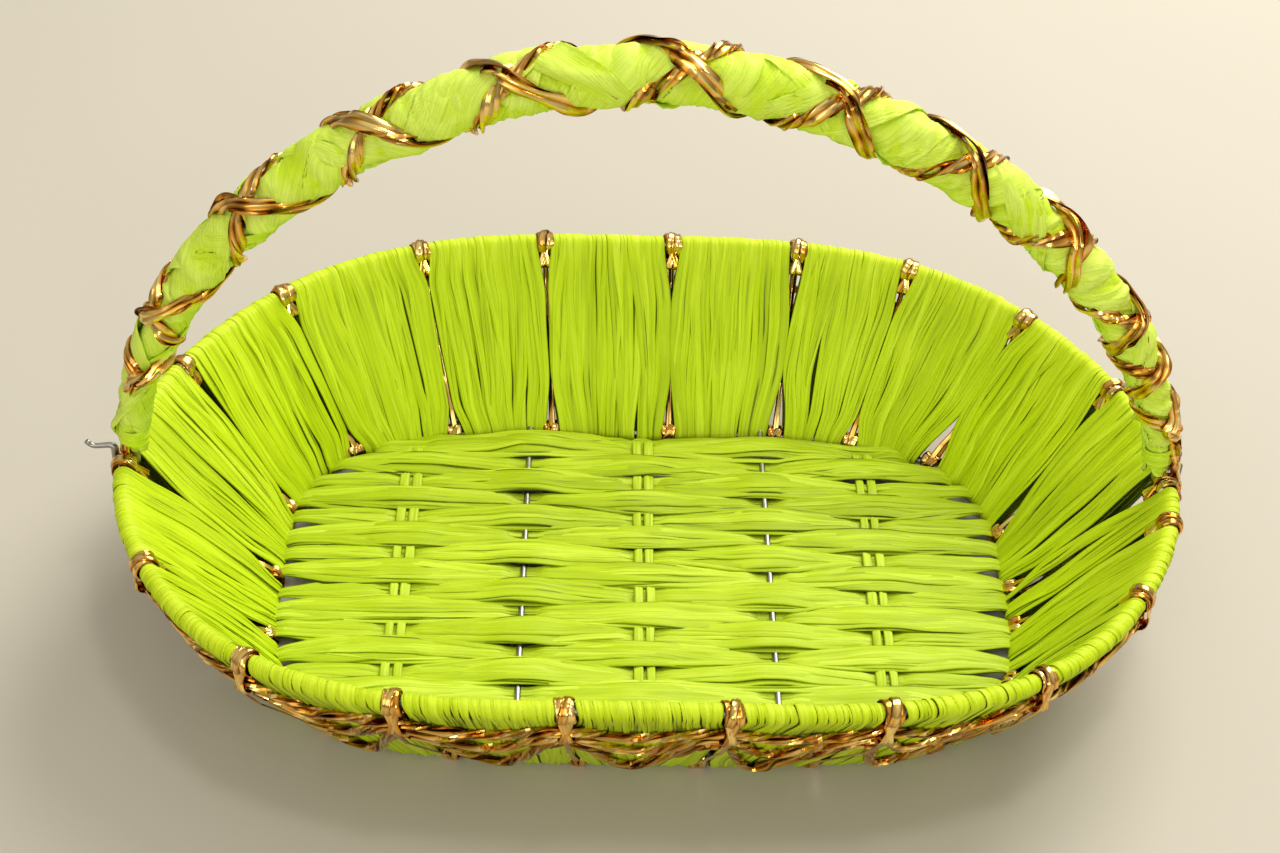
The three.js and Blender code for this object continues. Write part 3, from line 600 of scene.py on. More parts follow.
def panelWeave(i, look):
    rng = seeded(100 + i)
    start, end = panelEdges(i)
    height, outward, rising, part = loopTable(look)
    count = len(height)
    widthAtRim = (end["rim"] - start["rim"]) * rim["length"]
    widthAtBase = (end["base"] - start["base"]) * base["length"]
    widths = lerp(widthAtBase, widthAtRim, height)
    bows = edgeBow(gaps[i], height, look), -edgeBow(gapAfter(i), height, look)
    cuts = np.sort(rng.uniform(*look["cuts"], 1 + (widthAtBase > look["twoCutsFrom"])))
    edges = np.concatenate([[0], cuts, [1]])
    near = held(1 - height / look["bundleReach"]) ** 1.5
    neat = rampUp(height, *look["neat"])
    combed = held(outward) * rampUp(height, *look["combed"])
    puff = look["puff"] * np.sin(pi * held(height)) * (part % 2 == 0)
    narrowed = 1 - look["neatWidth"] * neat - look["comb"] * combed
    # painted shade along the strands' edges, more over the rim and outside below it
    dark = (look["edgeShading"] + look["darker"] * np.maximum(neat, combed))[:, None]
    strands = max(look["fewest"], int(round(widthAtRim / look["strandPitch"])))
    weave = Weave()

    def layStrand(atRim, atBase, share, depth, tone, thick):
        f = lerp(atBase, atRim, height)
        f = f + wander(rng, count, 7, look["stray"] / strands, True) * (1 - neat)
        first, last = edges[np.searchsorted(cuts, atBase) + np.arange(2)]
        squeeze = look["bundleGap"] / max(widthAtBase * (last - first), 1)
        f = f + ((first + last) / 2 - f) * squeeze * near
        f = f + look["slitsApart"] / strands * (outward + 1) / 2  # slits inside and outside aren't in line
        f = np.clip(f, share / 2, 1 - share / 2)
        wall = wallAt(lerp(start["rim"], end["rim"], f), lerp(start["base"], end["base"], f))
        rough = wander(rng, count, 9, look["rough"], True)
        radius = look["midRadius"] + puff + (depth + rough) * (1 - look["neatDepth"] * neat)
        path = onWall(wall, height, outward * radius) + wall["rise"] * (rising * radius)[:, None]
        path = path + wall["along"] * lerp(bows[0], bows[1], f)[:, None]
        path[:, 2] = np.maximum(path[:, 2], look["underside"])
        normal = wall["out"] * outward[:, None] + wall["rise"] * rising[:, None]
        width = np.maximum(share * widths * look["overlap"], look["narrowest"])
        width = width * (1 + wander(rng, count, 8, look["widthSpread"], True)) * narrowed
        section = ribbonSection(rng, count, width, thick, look["crease"], True)
        tilt = wander(rng, count, 6, look["tilt"], True) + rng.uniform(-look["tiltEach"], look["tiltEach"])
        rings = sweep(path, normal, section, True, tilt * (1 - look["neatTilt"] * neat))
        rings[..., 2] = np.maximum(rings[..., 2], 0)
        # paler over the rim, partly as a painted highlight, and painted shade outside below it
        shown = tone + look["paleRimAndHighlight"] * neat - look["shadedOutside"] * combed
        weave.add(rings, True, ribbonTone(rng, count, shown, dark, True))

    shares = rng.uniform(*look["shares"], strands)
    shares /= shares.sum()
    for f, share in zip(np.cumsum(shares) - shares / 2, shares):
        drift = rng.uniform(-look["drift"], look["drift"]) / strands
        layStrand(f, f + drift, share, rng.uniform(*look["depths"]), rng.uniform(*look["tones"]),
                  look["thickness"])
    for f in np.sort(rng.uniform(*look["topAt"], int(strands * look["topCount"]))):
        drift = rng.uniform(-1, 1) * look["slant"] / strands
        share = rng.uniform(*look["topShares"]) * look["topWidth"] / strands
        atRim, atBase = np.clip([f + drift / 2, f - drift / 2], *look["topKept"])
        layStrand(atRim, atBase, share, rng.uniform(*look["topDepths"]), rng.uniform(*look["topTones"]),
                  look["thickness"] * look["topThickness"])
    return weave


for i in range(panelCount):
    makePiece(f"raffia_panel_{i + 1:02d}", panelWeave(i, panelLook), wallRaffia, f"wall_panel_{i + 1:02d}")
print("wall panels wound")


# Steel wires

def tube(path, radius, closed, side, sides=14):
    section = roundSection(sides, 1) * np.broadcast_to(radius, (len(path),))[:, None, None]
    return sweep(path, np.broadcast_to(np.asarray(side, float), path.shape), section, closed)


def rounded(corners, radius, steps=6):
    corners = [np.asarray(c, float) for c in corners]
    path = [corners[0]]
    for before, corner, after in zip(corners, corners[1:], corners[2:]):
        start = corner + unit(before - corner) * radius
        end = corner + unit(after - corner) * radius
        for f in np.linspace(0, 1, steps):
            path.append((1 - f) ** 2 * start + 2 * f * (1 - f) * corner + f * f * end)
    return np.array(path + [corners[-1]])


def drawnOut(path, step):
    # the same path with points no further apart than step
    path = np.asarray(path, float)
    fine = [path[:1]]
    for a, b in zip(path, path[1:]):
        pieces = max(1, int(math.ceil(np.linalg.norm(b - a) / step)))
        fine.append(lerp(a, b, (np.arange(1, pieces + 1) / pieces)[:, None]))
    return np.concatenate(fine)


def backShareAt(x):
    # where the back half of the base ring passes x
    low, high = 0.0, 0.5
    for _ in range(40):
        middle = (low + high) / 2
        low, high = (middle, high) if onRing(base, middle)[0] > x else (low, middle)
    return low


def wallOver(baseShare):
    # the wall's line from rim to base through a place on the base ring
    for i in range(panelCount):
        if gaps[i]["base"] <= baseShare < gapAfter(i)["base"]:
            start, end = panelEdges(i)
            f = (baseShare - start["base"]) / (end["base"] - start["base"])
            return wallAt(lerp(start["rim"], end["rim"], f), baseShare)


# shares of the base ring's half length
ribs = {"left": -0.324, "right": 0.339}
warps = {"left": -0.656, "centre": 0.0, "right": 0.631}
ribBend = 4


def ribPath(x):
    share = backShareAt(x)
    walls = wallOver(share), wallOver(1 - share)
    drop = wires["rim"] + clearance
    lift = floorHeight - baseShape["height"]
    ends = [w["top"] - w["rise"] * drop for w in walls]
    corners = [w["bottom"] + w["rise"] * lift / w["rise"][2] for w in walls]
    return rounded([ends[0], corners[0], corners[1], ends[1]], ribBend)


def makeWire(name, path, radius, closed, side=(0, 0, 1)):
    weave = Weave()
    weave.add(tube(path, radius, closed, side), closed, 0.5)
    makePiece(f"steel_{name}", weave, wireSteel, name)


ringShares = np.arange(360) / 360
makeWire("rim_wire", onRing(rim, ringShares), wires["rim"], True)
makeWire("base_wire", onRing(base, ringShares), wires["base"], True)
for side, share in ribs.items():
    path = drawnOut(ribPath(share * baseShape["halfLength"]), 8)
    makeWire(f"floor_rib_{side}", path, wires["rib"], False, (1, 0, 0))

archShape = {
    "rise": 168.5, "exponent": 1.82, "lean": 4.5, "steps": 120, "hookRadius": 3.675, "hookSteps": 13,
    "hookLeg": 6, "tail": 8.2, "tailDrop": 1, "tailBend": 2.2, "tailHook": (-1.6, 0, 2.4), "tailThin": 0.62,
    "thinPoints": (6, 8), "probe": 0.3,
}


def archTable():
    t = np.linspace(0, 1, tableSteps["arch"] + 1)
    power = 2 / archShape["exponent"]
    run = -np.cos(pi * t)
    lift = np.abs(np.sin(pi * t)) ** power
    reach = rimEnd[0] - archShape["hookRadius"]
    x = np.sign(run) * np.abs(run) ** power * reach - archShape["lean"] * lift
    return lineTable(np.stack([x, 0 * x, rimEnd[2] + archShape["rise"] * lift], 1))


arch = archTable()


def onArch(distance):
    return onLine(arch, held(np.asarray(distance, float) / arch["length"]))


def besideArch(distance, angle, radius):
    # round the handle: angle 0 is its outer side, -90 degrees faces the front
    probe = archShape["probe"]
    distance = np.clip(np.asarray(distance, float), probe, arch["length"] - probe)
    heading = unit(onArch(distance + probe) - onArch(distance - probe))
    outward = np.cross(heading, np.array([0, 1.0, 0]))
    angle, radius = np.asarray(angle, float), np.asarray(radius, float)
    return (onArch(distance) + outward * (radius * np.cos(angle))[..., None]
            + np.array([0, 1.0, 0]) * (radius * np.sin(angle))[..., None])


def handleWirePath():
    def hook(side):
        angle = np.linspace(0, pi, archShape["hookSteps"])
        out, down = archShape["hookRadius"] * np.cos(angle), archShape["hookRadius"] * np.sin(angle)
        return np.stack([side * (rimEnd[0] + out), 0 * angle, rimEnd[2] - down], 1)
    left, right = hook(-1), hook(1)
    legs = [h[0] + [0, 0, archShape["hookLeg"]] for h in (left, right)]
    tip = legs[0] + [-archShape["tail"], 0, -archShape["tailDrop"]]
    tail = rounded([tip + archShape["tailHook"], tip, legs[0], left[0]], archShape["tailBend"])
    over = onArch(np.linspace(0, arch["length"], archShape["steps"]))
    path = np.concatenate([tail, left[1:-1], over, right[::-1][1:], legs[1][None]])
    thin = lerp(archShape["tailThin"], 1, rampUp(np.arange(len(path)), *archShape["thinPoints"]))
    return path, thin * wires["handle"]


makeWire("handle_wire", *handleWirePath(), False, (0, 1, 0))
print("wires drawn")


# Woven floor: rows of raffia over and under the warps and the ribs

weftLook = {
    "pitch": 10.3, "rows": 15, "rowsEach": 4, "strands": 7, "step": 2.0, "inset": 4.2107, "tuck": 4.6,
    # a row's width and height where it crosses, between crossings and at its ends
    "wideOverRib": 15.2, "wideOverWarp": 13.8, "wideUnder": 9.2, "wideBacking": 13.4, "wideEnd": (4.2, 8.6),
    "wideSpread": (0.94, 1.06), "ribLevel": 2.1, "warpLevel": 1.5, "between": 0.3, "dipRun": 6,
    "riseRun": 15, "taper": 25, "endDrop": 0.8, "tipDrop": 3.2, "tipRun": 8, "endStray": 2.0, "stray": 0.5,
    "edgeShift": 2.2, "edgeWider": 1.1, "edgeSink": 0.6, "arched": 0.35,
    # its strands
    "strandWidth": 4.9, "strandWidths": (0.5, 1.2), "thickness": 0.8, "thicknesses": (0.85, 1.15),
    "crease": 0.12, "widthSpread": 0.18, "sway": 0.3, "lift": 0.25, "liftEach": (-0.15, 0.25),
    "widest": 0.5, "within": 0.8, "backingLower": 0.4, "backingWider": 6, "backingFull": 0.94,
    "tilt": 0.16, "backingTilt": 0.2,
    # the backing strand's low tone is painted shade under each row, the front rows get painted light, and
    # the strands' edges painted shade
    "tones": (0.3, 0.75), "backingShadeTone": 0.36, "paintedFrontLight": 0.38, "edgeShading": 0.85, "creases": 16,
}
warpLook = {
    "spacing": 4.6, "margin": 0.9, "turnSteps": 9, "step": 3, "dip": 3.2, "dipRun": (-4, 6), "wave": 0.9,
    "stray": 0.35, "width": 3.6, "widthSpread": 0.14, "thickness": 1.2, "crease": 0.14, "tilt": 0.25,
    "tone": 0.75, "bends": 16, "creases": 40, "toneLines": 30,
}
crossingReach = {"rib": 3.0, "warp": 4.1}


def floorReach(offset, along, across):
    # half the floor's length or width at an offset from its middle
    half, other = baseShape[along] - weftLook["inset"], baseShape[across] - weftLook["inset"]
    power = baseShape["exponent"]
    return half * np.maximum(0, 1 - np.abs(offset / other) ** power) ** (1 / power)


crossings = sorted(
    [(share * baseShape["halfLength"], False, crossingReach["warp"]) for share in warps.values()]
    + [(share * baseShape["halfLength"], True, crossingReach["rib"]) for share in ribs.values()]
)


def weftRow(weave, row, look):
    rng = seeded(700 + row)
    middleRow = (look["rows"] - 1) / 2
    y = look["pitch"] * (middleRow - row)
    end = floorReach(y, "halfLength", "halfWidth") + look["tuck"]
    wideEnds = rng.uniform(*look["wideEnd"], 2)
    places, levels, swells, wide = [], [], [], []
    for x, isRib, reach in crossings:
        over = 1 if isRib == (row % 2 == 0) else -1
        level = over * look["ribLevel" if isRib else "warpLevel"]
        crossed = look["wideUnder" if over < 0 else "wideOverRib" if isRib else "wideOverWarp"]
        run = look["riseRun" if over > 0 else "dipRun"]
        places += [x - reach - run, x - reach, x + reach, x + reach + run]
        levels += [over * look["between"], level, level, over * look["between"]]
        swells += [x - reach / 2, x + reach / 2]
        wide += [crossed * rng.uniform(*look["wideSpread"])] * 2
    count = int(2 * end / look["step"])
    x = np.linspace(-end, end, count)
    level = easedThrough(x, [-end, *places, end], [-look["endDrop"], *levels, -look["endDrop"]])
    width = easedThrough(x, [-end, *swells, end], [wideEnds[0], *wide, wideEnds[1]])
    near = held((end - np.abs(x)) / look["taper"])
    tip = held(1 - (end - np.abs(x)) / look["tipRun"])
    width = np.minimum(width, lerp(np.where(x < 0, *wideEnds), look["wideOverRib"], near ** 0.7))
    stray = rng.uniform(-1, 1, 2) * look["endStray"]
    y = y + wander(rng, count, 6, look["stray"]) + np.where(x < 0, *stray) * (1 - near) ** 2
    if abs(middleRow - row) == middleRow:  # the first and the last row bow out to the wall
        y = y + np.sign(y) * look["edgeShift"] * (1 - (x / end) ** 2)
        width = width * look["edgeWider"]
    full = np.minimum(look["wideBacking"], width + look["backingWider"] * near) * look["backingFull"]
    lies = (np.arange(look["strands"]) + 0.5) / look["strands"] - 0.5
    for k, lie in enumerate([0.0, *rng.permutation(lies)]):
        backing = k == 0
        thick = look["thickness"] * rng.uniform(*look["thicknesses"])
        strandWidth = look["strandWidth"] * rng.uniform(*look["strandWidths"])
        strandWidth = full if backing else np.minimum(strandWidth, width * look["widest"])
        strandWidth = strandWidth * (1 + wander(rng, count, 11, look["widthSpread"]))
        lying = np.clip(lie + wander(rng, count, 6, 0.0 if backing else look["sway"]), -0.5, 0.5)
        side = lying * (width - strandWidth * look["within"])
        lift = wander(rng, count, 9, look["lift"]) + rng.uniform(*look["liftEach"])
        lift = lift - (look["backingLower"] if backing else 0) + look["arched"] * (1 - (2 * lying) ** 2)
        sunk = level * (1 - look["edgeSink"] * (2 * lying) ** 2) - look["tipDrop"] * tip ** 2
        path = np.stack([x, y + side, floorHeight + sunk + lift * near], 1)
        tilt = wander(rng, count, 12, look["tilt"]) * (look["backingTilt"] if backing else 1)
        section = ribbonSection(rng, count, strandWidth, thick, look["crease"], False, look["creases"])
        # painted shade on the backing strand, painted light on the front rows, painted shade along the
        # edges
        tone = look["backingShadeTone"] if backing else rng.uniform(*look["tones"])
        tone += look["paintedFrontLight"] * (row / look["rows"]) ** 2
        tones = ribbonTone(rng, count, tone, look["edgeShading"], False, look["creases"])
        weave.add(sweep(path, upright(path), section, False, tilt), False, tones)


for number, first in enumerate(range(0, weftLook["rows"], weftLook["rowsEach"])):
    weave = Weave()
    for row in range(first, min(first + weftLook["rowsEach"], weftLook["rows"])):
        weftRow(weave, row, weftLook)
    makePiece(f"raffia_weft_{number + 1}", weave, floorRaffia, f"floor_weft_{number + 1}")


def warpWeave(x, look, seed):
    rng = seeded(seed)
    half = look["spacing"] / 2
    straight = floorReach(abs(x) + half + look["margin"], "halfWidth", "halfLength") - look["margin"] - half
    turn = np.linspace(0, pi, look["turnSteps"])
    over, out = half * np.cos(turn), straight + half * np.sin(turn)
    path = np.concatenate([np.stack([x + s * over, s * out, 0 * turn + floorHeight], 1) for s in (1, -1)])
    path = drawnOut(np.concatenate([path, path[:1]]), look["step"])[:-1]
    count = len(path)
    past = rampUp(np.abs(path[:, 1]) - straight, *look["dipRun"])
    middleRow = (weftLook["rows"] - 1) / 2
    wave = np.cos(pi * (middleRow - path[:, 1] / weftLook["pitch"]))
    path[:, 2] += look["wave"] * wave * (1 - past) - look["dip"] * past ** 2
    path[:, 0] += wander(rng, count, look["bends"], look["stray"], True)
    width = look["width"] * (1 + wander(rng, count, look["bends"], look["widthSpread"], True))
    section = ribbonSection(rng, count, width, look["thickness"], look["crease"], True, look["creases"])
    # painted shade along the warp's edges and underside
    tones = ribbonTone(rng, count, look["tone"], weftLook["edgeShading"], True, look["toneLines"])
    weave = Weave()
    tilt = wander(rng, count, 12, look["tilt"], True)
    weave.add(sweep(path, upright(path), section, True, tilt), True, tones)
    return weave


for number, (side, share) in enumerate(warps.items()):
    weave = warpWeave(share * baseShape["halfLength"], warpLook, 800 + number)
    makePiece(f"raffia_warp_{side}", weave, floorRaffia, f"floor_warp_{side}")
print("floor woven")


# Handle: crumpled raffia wound over the wire

wrapLook = {
    "start": 3.9107, "foot": 3.5, "top": 9.3, "swell": 0.62, "bulge": 2.2, "bulgeAt": 13, "bulgeRun": 4.5,
    "coreSteps": 260, "coreSides": 28, "coreBelow": 1.9, "coreEndBelow": 0.5, "coreEndRings": 3,
    "coreTone": 0.52, "margin": 2,
    "layers": (
        {"pitch": 31, "width": 40, "lift": -0.9, "sense": 1, "seed": 3, "phase": 0.0},
        {"pitch": 58, "width": 34, "lift": 0.0, "sense": 1, "seed": 5, "phase": 1.9},
        {"pitch": 75, "width": 19, "lift": 0.5, "sense": -1, "seed": 8, "phase": 0.7},
    ),
    "aroundSteps": 48, "pointSpacing": 0.66, "backPoints": 5, "thickness": 0.5, "edgeLift": 0.6,
    "stray": 0.12, "widthSpread": 0.2, "ragged": 1.8,
    # how far each kind of fold stands out, and its size
    "bigFold": 1.5, "pleat": 1.25, "fold": 1.6, "rays": 0.7, "foldLevel": 1.3, "bend": 2.2,
    "footPleats": 34,
    "sizes": {"big": 12, "patch": 11, "bend": 7, "pleat": 1.5, "fold": 4.6, "ray": 2.3},
    # the cords press in, and the winding puffs out between them
    "pinch": 1.5, "pinchWidth": 4.2, "pinchSlope": 0.66, "mostPressed": 1.2, "puff": 0.45,
    # the tone differs at random; the folds get painted shade in their valleys and painted light on their
    # ridges, and each layer's edges painted shade
    "tone": 0.62, "toneSpread": 0.14, "foldLightAndShade": 0.3, "shadedEdgeTone": 0.15,
}
# where the two cords cross in front, as shares of the arch, and at which angle
crossingShares = [0.08, 0.131, 0.234, 0.329, 0.416, 0.516, 0.607, 0.693, 0.78, 0.857, 0.9, 0.947]
crossingAngles = [-1.35, -0.85] + [-0.72] * 8 + [-0.85, -1.2]


def wrapRadiusAt(distance):
    share = np.clip(distance / arch["length"], 0, 1)
    return lerp(wrapLook["foot"], wrapLook["top"], np.sin(pi * share) ** wrapLook["swell"])


def swingAt(turns, slower=0.33):
    # a cord's angle after that many turns from a crossing in front: slower in front than behind
    swing = 2 * pi * (turns % 1)
    return swing - slower * np.sin(swing)


def pinched(angle, distance, look):
    # how far the winding is in or out, and how hard the cords press it
    shares = np.array(crossingShares) * arch["length"]
    numbers = np.arange(len(shares))
    turns = np.interp(distance, shares, numbers)
    middle = np.interp(turns, numbers, crossingAngles)
    inside = (distance > shares[0]) & (distance < shares[-1])
    press = 0
    for sense in (1, -1):
        off = (angle - middle - sense * swingAt(turns) + pi) % (2 * pi) - pi
        off = off * wrapRadiusAt(distance) * look["pinchSlope"]
        press = press + np.exp(-(off / look["pinchWidth"]) ** 2)
    press = np.where(inside, np.minimum(press, look["mostPressed"]), 0)
    return look["puff"] * inside - look["pinch"] * press, press


def crumpled(angle, distance, look, layer, press):
    # how far the winding stands out at a place: fine pleats round the handle, and folds across it
    girth = angle * wrapRadiusAt(distance)
    lead = layer["sense"] * layer["pitch"] / (2 * pi * 8)
    across = distance - girth * lead
    sizes, seed = look["sizes"], layer["seed"]

    def at(x, y):
        return np.stack([x, y, 0 * angle], -1)

    nearFoot = held(1 - np.minimum(distance, arch["length"] - distance) / look["footPleats"])
    strength = np.maximum(lumps(at(distance, girth), sizes["patch"], 34), 0.9 * np.sqrt(nearFoot))
    bend = look["bend"] * lumps(at(distance, girth), sizes["bend"], seed + 41)
    # the shares of distance and girth set which way each kind of fold runs
    big = folds(at(distance * 0.8, girth), sizes["big"], 3)
    pleats = folds(at(distance + bend + girth * 0.12, girth * 0.09), sizes["pleat"], seed + 11)
    slant = folds(at(across * 0.42 + girth * 0.42, girth * 0.12 - across * 0.1), sizes["fold"], seed + 23)
    rays = folds(at(distance * 0.8 - girth * 0.25, girth * 0.2), sizes["ray"], seed + 53)
    return (big * look["bigFold"] + pleats * look["pleat"] * held(1.8 * strength - 0.2)
            + slant ** 3 * look["fold"] * held(1.5 - 1.7 * strength)
            + rays * look["rays"] * press - look["foldLevel"])


def wrapLayer(weave, look, layer):
    first, last = look["start"], arch["length"] - look["start"]
    turns = (last - first - 2 * look["margin"]) / layer["pitch"]
    count = int(turns * look["aroundSteps"])
    rng = seeded(layer["seed"])
    f = np.linspace(0, 1, count)
    angle = layer["phase"] + layer["sense"] * 2 * pi * turns * f
    stray = wander(rng, count, int(turns * 2), layer["pitch"] * look["stray"])
    middle = lerp(first + look["margin"], last - look["margin"], f) + stray
    points = int(layer["width"] / look["pointSpacing"])
    lies = np.linspace(-0.5, 0.5, points)
    ragged = wander(rng, count, int(turns * 6), look["ragged"])[:, None]
    width = layer["width"] * (1 + wander(rng, count, int(turns * 2), look["widthSpread"]))[:, None]
    distance = np.clip(middle[:, None] + lies * width + ragged * np.sign(lies), first, last)
    angles = angle[:, None] + 0 * distance
    step = layer["lift"] + look["edgeLift"] * np.clip(lies * 2, -1, 1) ** 3
    sunk, press = pinched(angles, distance, look)
    crumple = crumpled(angles, distance, look, layer, press)
    nearBulge = np.exp(-((distance - look["bulgeAt"]) / look["bulgeRun"]) ** 2)
    bulge = look["bulge"] * nearBulge * held(np.cos(angles))
    radius = wrapRadiusAt(distance) + step + crumple + sunk + bulge
    top = besideArch(distance, angles, radius)
    behind = np.linspace(points - 1, 0, look["backPoints"]).astype(int)
    back = besideArch(distance[:, behind], angles[:, behind], radius[:, behind] - look["thickness"])
    tone = look["tone"] + wander(rng, count, int(turns * 3), look["toneSpread"])[:, None]
    # painted shade in the fold valleys, painted light on the ridges, and painted shade along the edges
    tone = tone + look["foldLightAndShade"] * np.clip(crumple, -1, 1)
    tone[:, [0, -1]] -= look["shadedEdgeTone"]
    tones = np.concatenate([tone, look["coreTone"] + 0 * tone[:, behind]], 1)
    weave.add(np.concatenate([top, back], 1), False, tones)


def handleWrap(look):
    weave = Weave()
    steps = look["coreSteps"]
    distance = np.linspace(look["start"], arch["length"] - look["start"], steps)[:, None]
    angle = roundAngles(look["coreSides"]) + 0 * distance
    atEnd = np.abs(np.arange(steps) - (steps - 1) / 2) > steps / 2 - look["coreEndRings"]
    radius = wrapRadiusAt(distance) - look["coreBelow"] - look["coreEndBelow"] * atEnd[:, None]
    weave.add(besideArch(distance + 0 * angle, angle, radius + 0 * angle), False, look["coreTone"])
    for layer in look["layers"]:
        wrapLayer(weave, look, layer)
    return weave


makePiece("raffia_handle_wrap", handleWrap(wrapLook), handleRaffia, "handle_wrap")

bandLook = {
    "rise": 9, "height": 7, "turns": 4, "steps": 44, "proud": 0.35, "width": 2.4, "thickness": 0.8,
    "crease": 0.12, "stray": 0.5, "rough": 0.2, "tilt": 0.3, "tones": (0.45, 0.7), "edgeShading": 0.4,
}


def footBand(start, look, seed):
    rng = seeded(seed)
    weave = Weave()
    count = look["steps"]
    for turn in range(look["turns"]):
        middle = start + look["height"] * (turn + 0.5) / look["turns"]
        middle = middle + wander(rng, count, 5, look["stray"], True)
        radius = wrapRadiusAt(middle) + look["proud"] + wander(rng, count, 7, look["rough"], True)
        path = besideArch(middle, roundAngles(count), radius)
        normal = unit(path - onArch(middle))
        section = ribbonSection(rng, count, look["width"], look["thickness"], look["crease"], True)
        # painted shade along the band's edges and underside
        tones = ribbonTone(rng, count, rng.uniform(*look["tones"]), look["edgeShading"], True)
        tilt = wander(rng, count, 5, look["tilt"], True)
        weave.add(sweep(path, normal, section, True, tilt), True, tones)
    return weave


for side, start, seed in (("left", bandLook["rise"], 61),
                          ("right", arch["length"] - bandLook["rise"] - bandLook["height"], 62)):
    makePiece(f"raffia_foot_band_{side}", footBand(start, bandLook, seed), handleRaffia,
              f"foot_band_{side}")
print("handle wound")


# Gold strip: folded foil, twisted into cords and knots

# the points of a strip's section, with their tones: painted highlight on the ridges and painted shade in
# the creases
cordFold = {
    "across": (-0.5, -0.3, -0.05, 0.2, 0.5, 0.28, 0.0, -0.28),
    "up": (0.0, 0.65, 0.2, 0.75, 0.05, -0.4, -0.15, -0.4),
    "tone": (0.15, 1.1, 0.2, 1.0, 0.1, 0.55, 0.1, 0.55),
    "sway": 0.05, "rough": 0.14, "paintedGlints": 0.4, "spots": 0.2,
}
knotFold = {
    "across": (-0.5, -0.38, -0.12, 0.14, 0.37, 0.5, 0.25, -0.25),
    "up": (0.0, 0.5, 0.75, 0.5, 0.55, 0.0, -0.3, -0.3),
    "tone": (0.2, 0.65, 0.95, 0.55, 0.85, 0.2, 0.4, 0.4),
    "sway": 0.03, "rough": 0.1, "paintedGlints": 0.35, "spots": 0.2,
}


def foilSection(rng, count, width, thickness, closed, knots, fold):
    # a strip folded on itself, with sharp creases along it
    sides = len(fold["across"])
    width = np.broadcast_to(width, (count,))[:, None]
    sway = wander(rng, count, knots, fold["sway"], closed, sides)
    rough = wander(rng, count, knots, fold["rough"], closed, sides, True)
    return np.stack([(fold["across"] + sway) * width, (fold["up"] + rough) * thickness], -1)


def foilTone(rng, count, tone, closed, knots, fold):
    # painted highlights on the ridges and painted shade in the creases, with painted glints and shade from
    # crumple to crumple and a little random tone from point to point
    paintedGlints = wander(rng, count, knots, fold["paintedGlints"], closed)[:, None]
    spots = wander(rng, count, knots, fold["spots"], closed, len(fold["tone"]))
    return np.array(fold["tone"]) + tone - 0.5 + paintedGlints + spots


# how loosely the strips of a cord lie, and the way that they face
twist = {
    "phase": 0.5, "reach": 0.35, "width": 0.3, "tilt": 0.5, "sideways": 0.6, "outward": 0.35,
    "tones": (0.3, 0.75),
}


def foilCord(weave, rng, path, normal, closed, look):
    # strips twisted round one another along a path
    along = distancesAlong(path)
    whole = along[-1] + (np.linalg.norm(path[0] - path[-1]) if closed else 0)
    count = len(path)
    ahead = headings(path, closed)
    side = unit(np.cross(ahead, normal))
    up = np.cross(side, ahead)
    turns = max(1, round(whole / look["pitch"]))
    knots = max(4, int(whole / look["crumple"]))

    def stray(share, slower):
        return wander(rng, count, max(3, knots // slower), share * look["loose"], closed)

    for k in range(look["strips"]):
        phase = 2 * pi * k / look["strips"] + 2 * pi * turns * along / whole
        phase = phase + stray(twist["phase"], 4)
        wide = look["spread"] * (1 + stray(twist["reach"], 3))
        tall = look["rise"] * (1 + stray(twist["reach"], 3))
        cos, sin = np.cos(phase), np.sin(phase)
        centre = path + side * (cos * wide)[:, None] + up * (sin * tall)[:, None]
        facing = side * cos[:, None] * twist["sideways"] + up * sin[:, None] + up * twist["outward"]
        width = look["width"] * (1 + stray(twist["width"], 2))
        section = foilSection(rng, count, width, look["thickness"], closed, knots, cordFold)
        tilt = stray(twist["tilt"], 2)
        tones = foilTone(rng, count, rng.uniform(*twist["tones"]), closed, knots, cordFold)
        weave.add(sweep(centre, unit(facing), section, closed, tilt), closed, tones)


handleCordLook = {
    "crumple": 8, "loose": 1, "thickness": 1.15, "stepsPerTurn": 64, "seat": 0.8, "under": 4.6,
    "goesUnder": (0.1, 0.2), "tail": 0.06, "rightTail": 0.6, "tailAngle": -0.1, "tailApart": 0.3,
    "tailLift": 0.9, "tailOut": 2.6, "tailDrop": 18, "tailSteps": 12,
}
handleCords = {
    "under": {"strips": 2, "pitch": 38, "spread": 1.2, "rise": 0.8, "width": 4.6, "lift": 0.0, "seed": 91},
    "over": {"strips": 2, "pitch": 52, "spread": 1.5, "rise": 0.7, "width": 5.0, "lift": 2.9, "seed": 92,
             "crumple": 5},
}


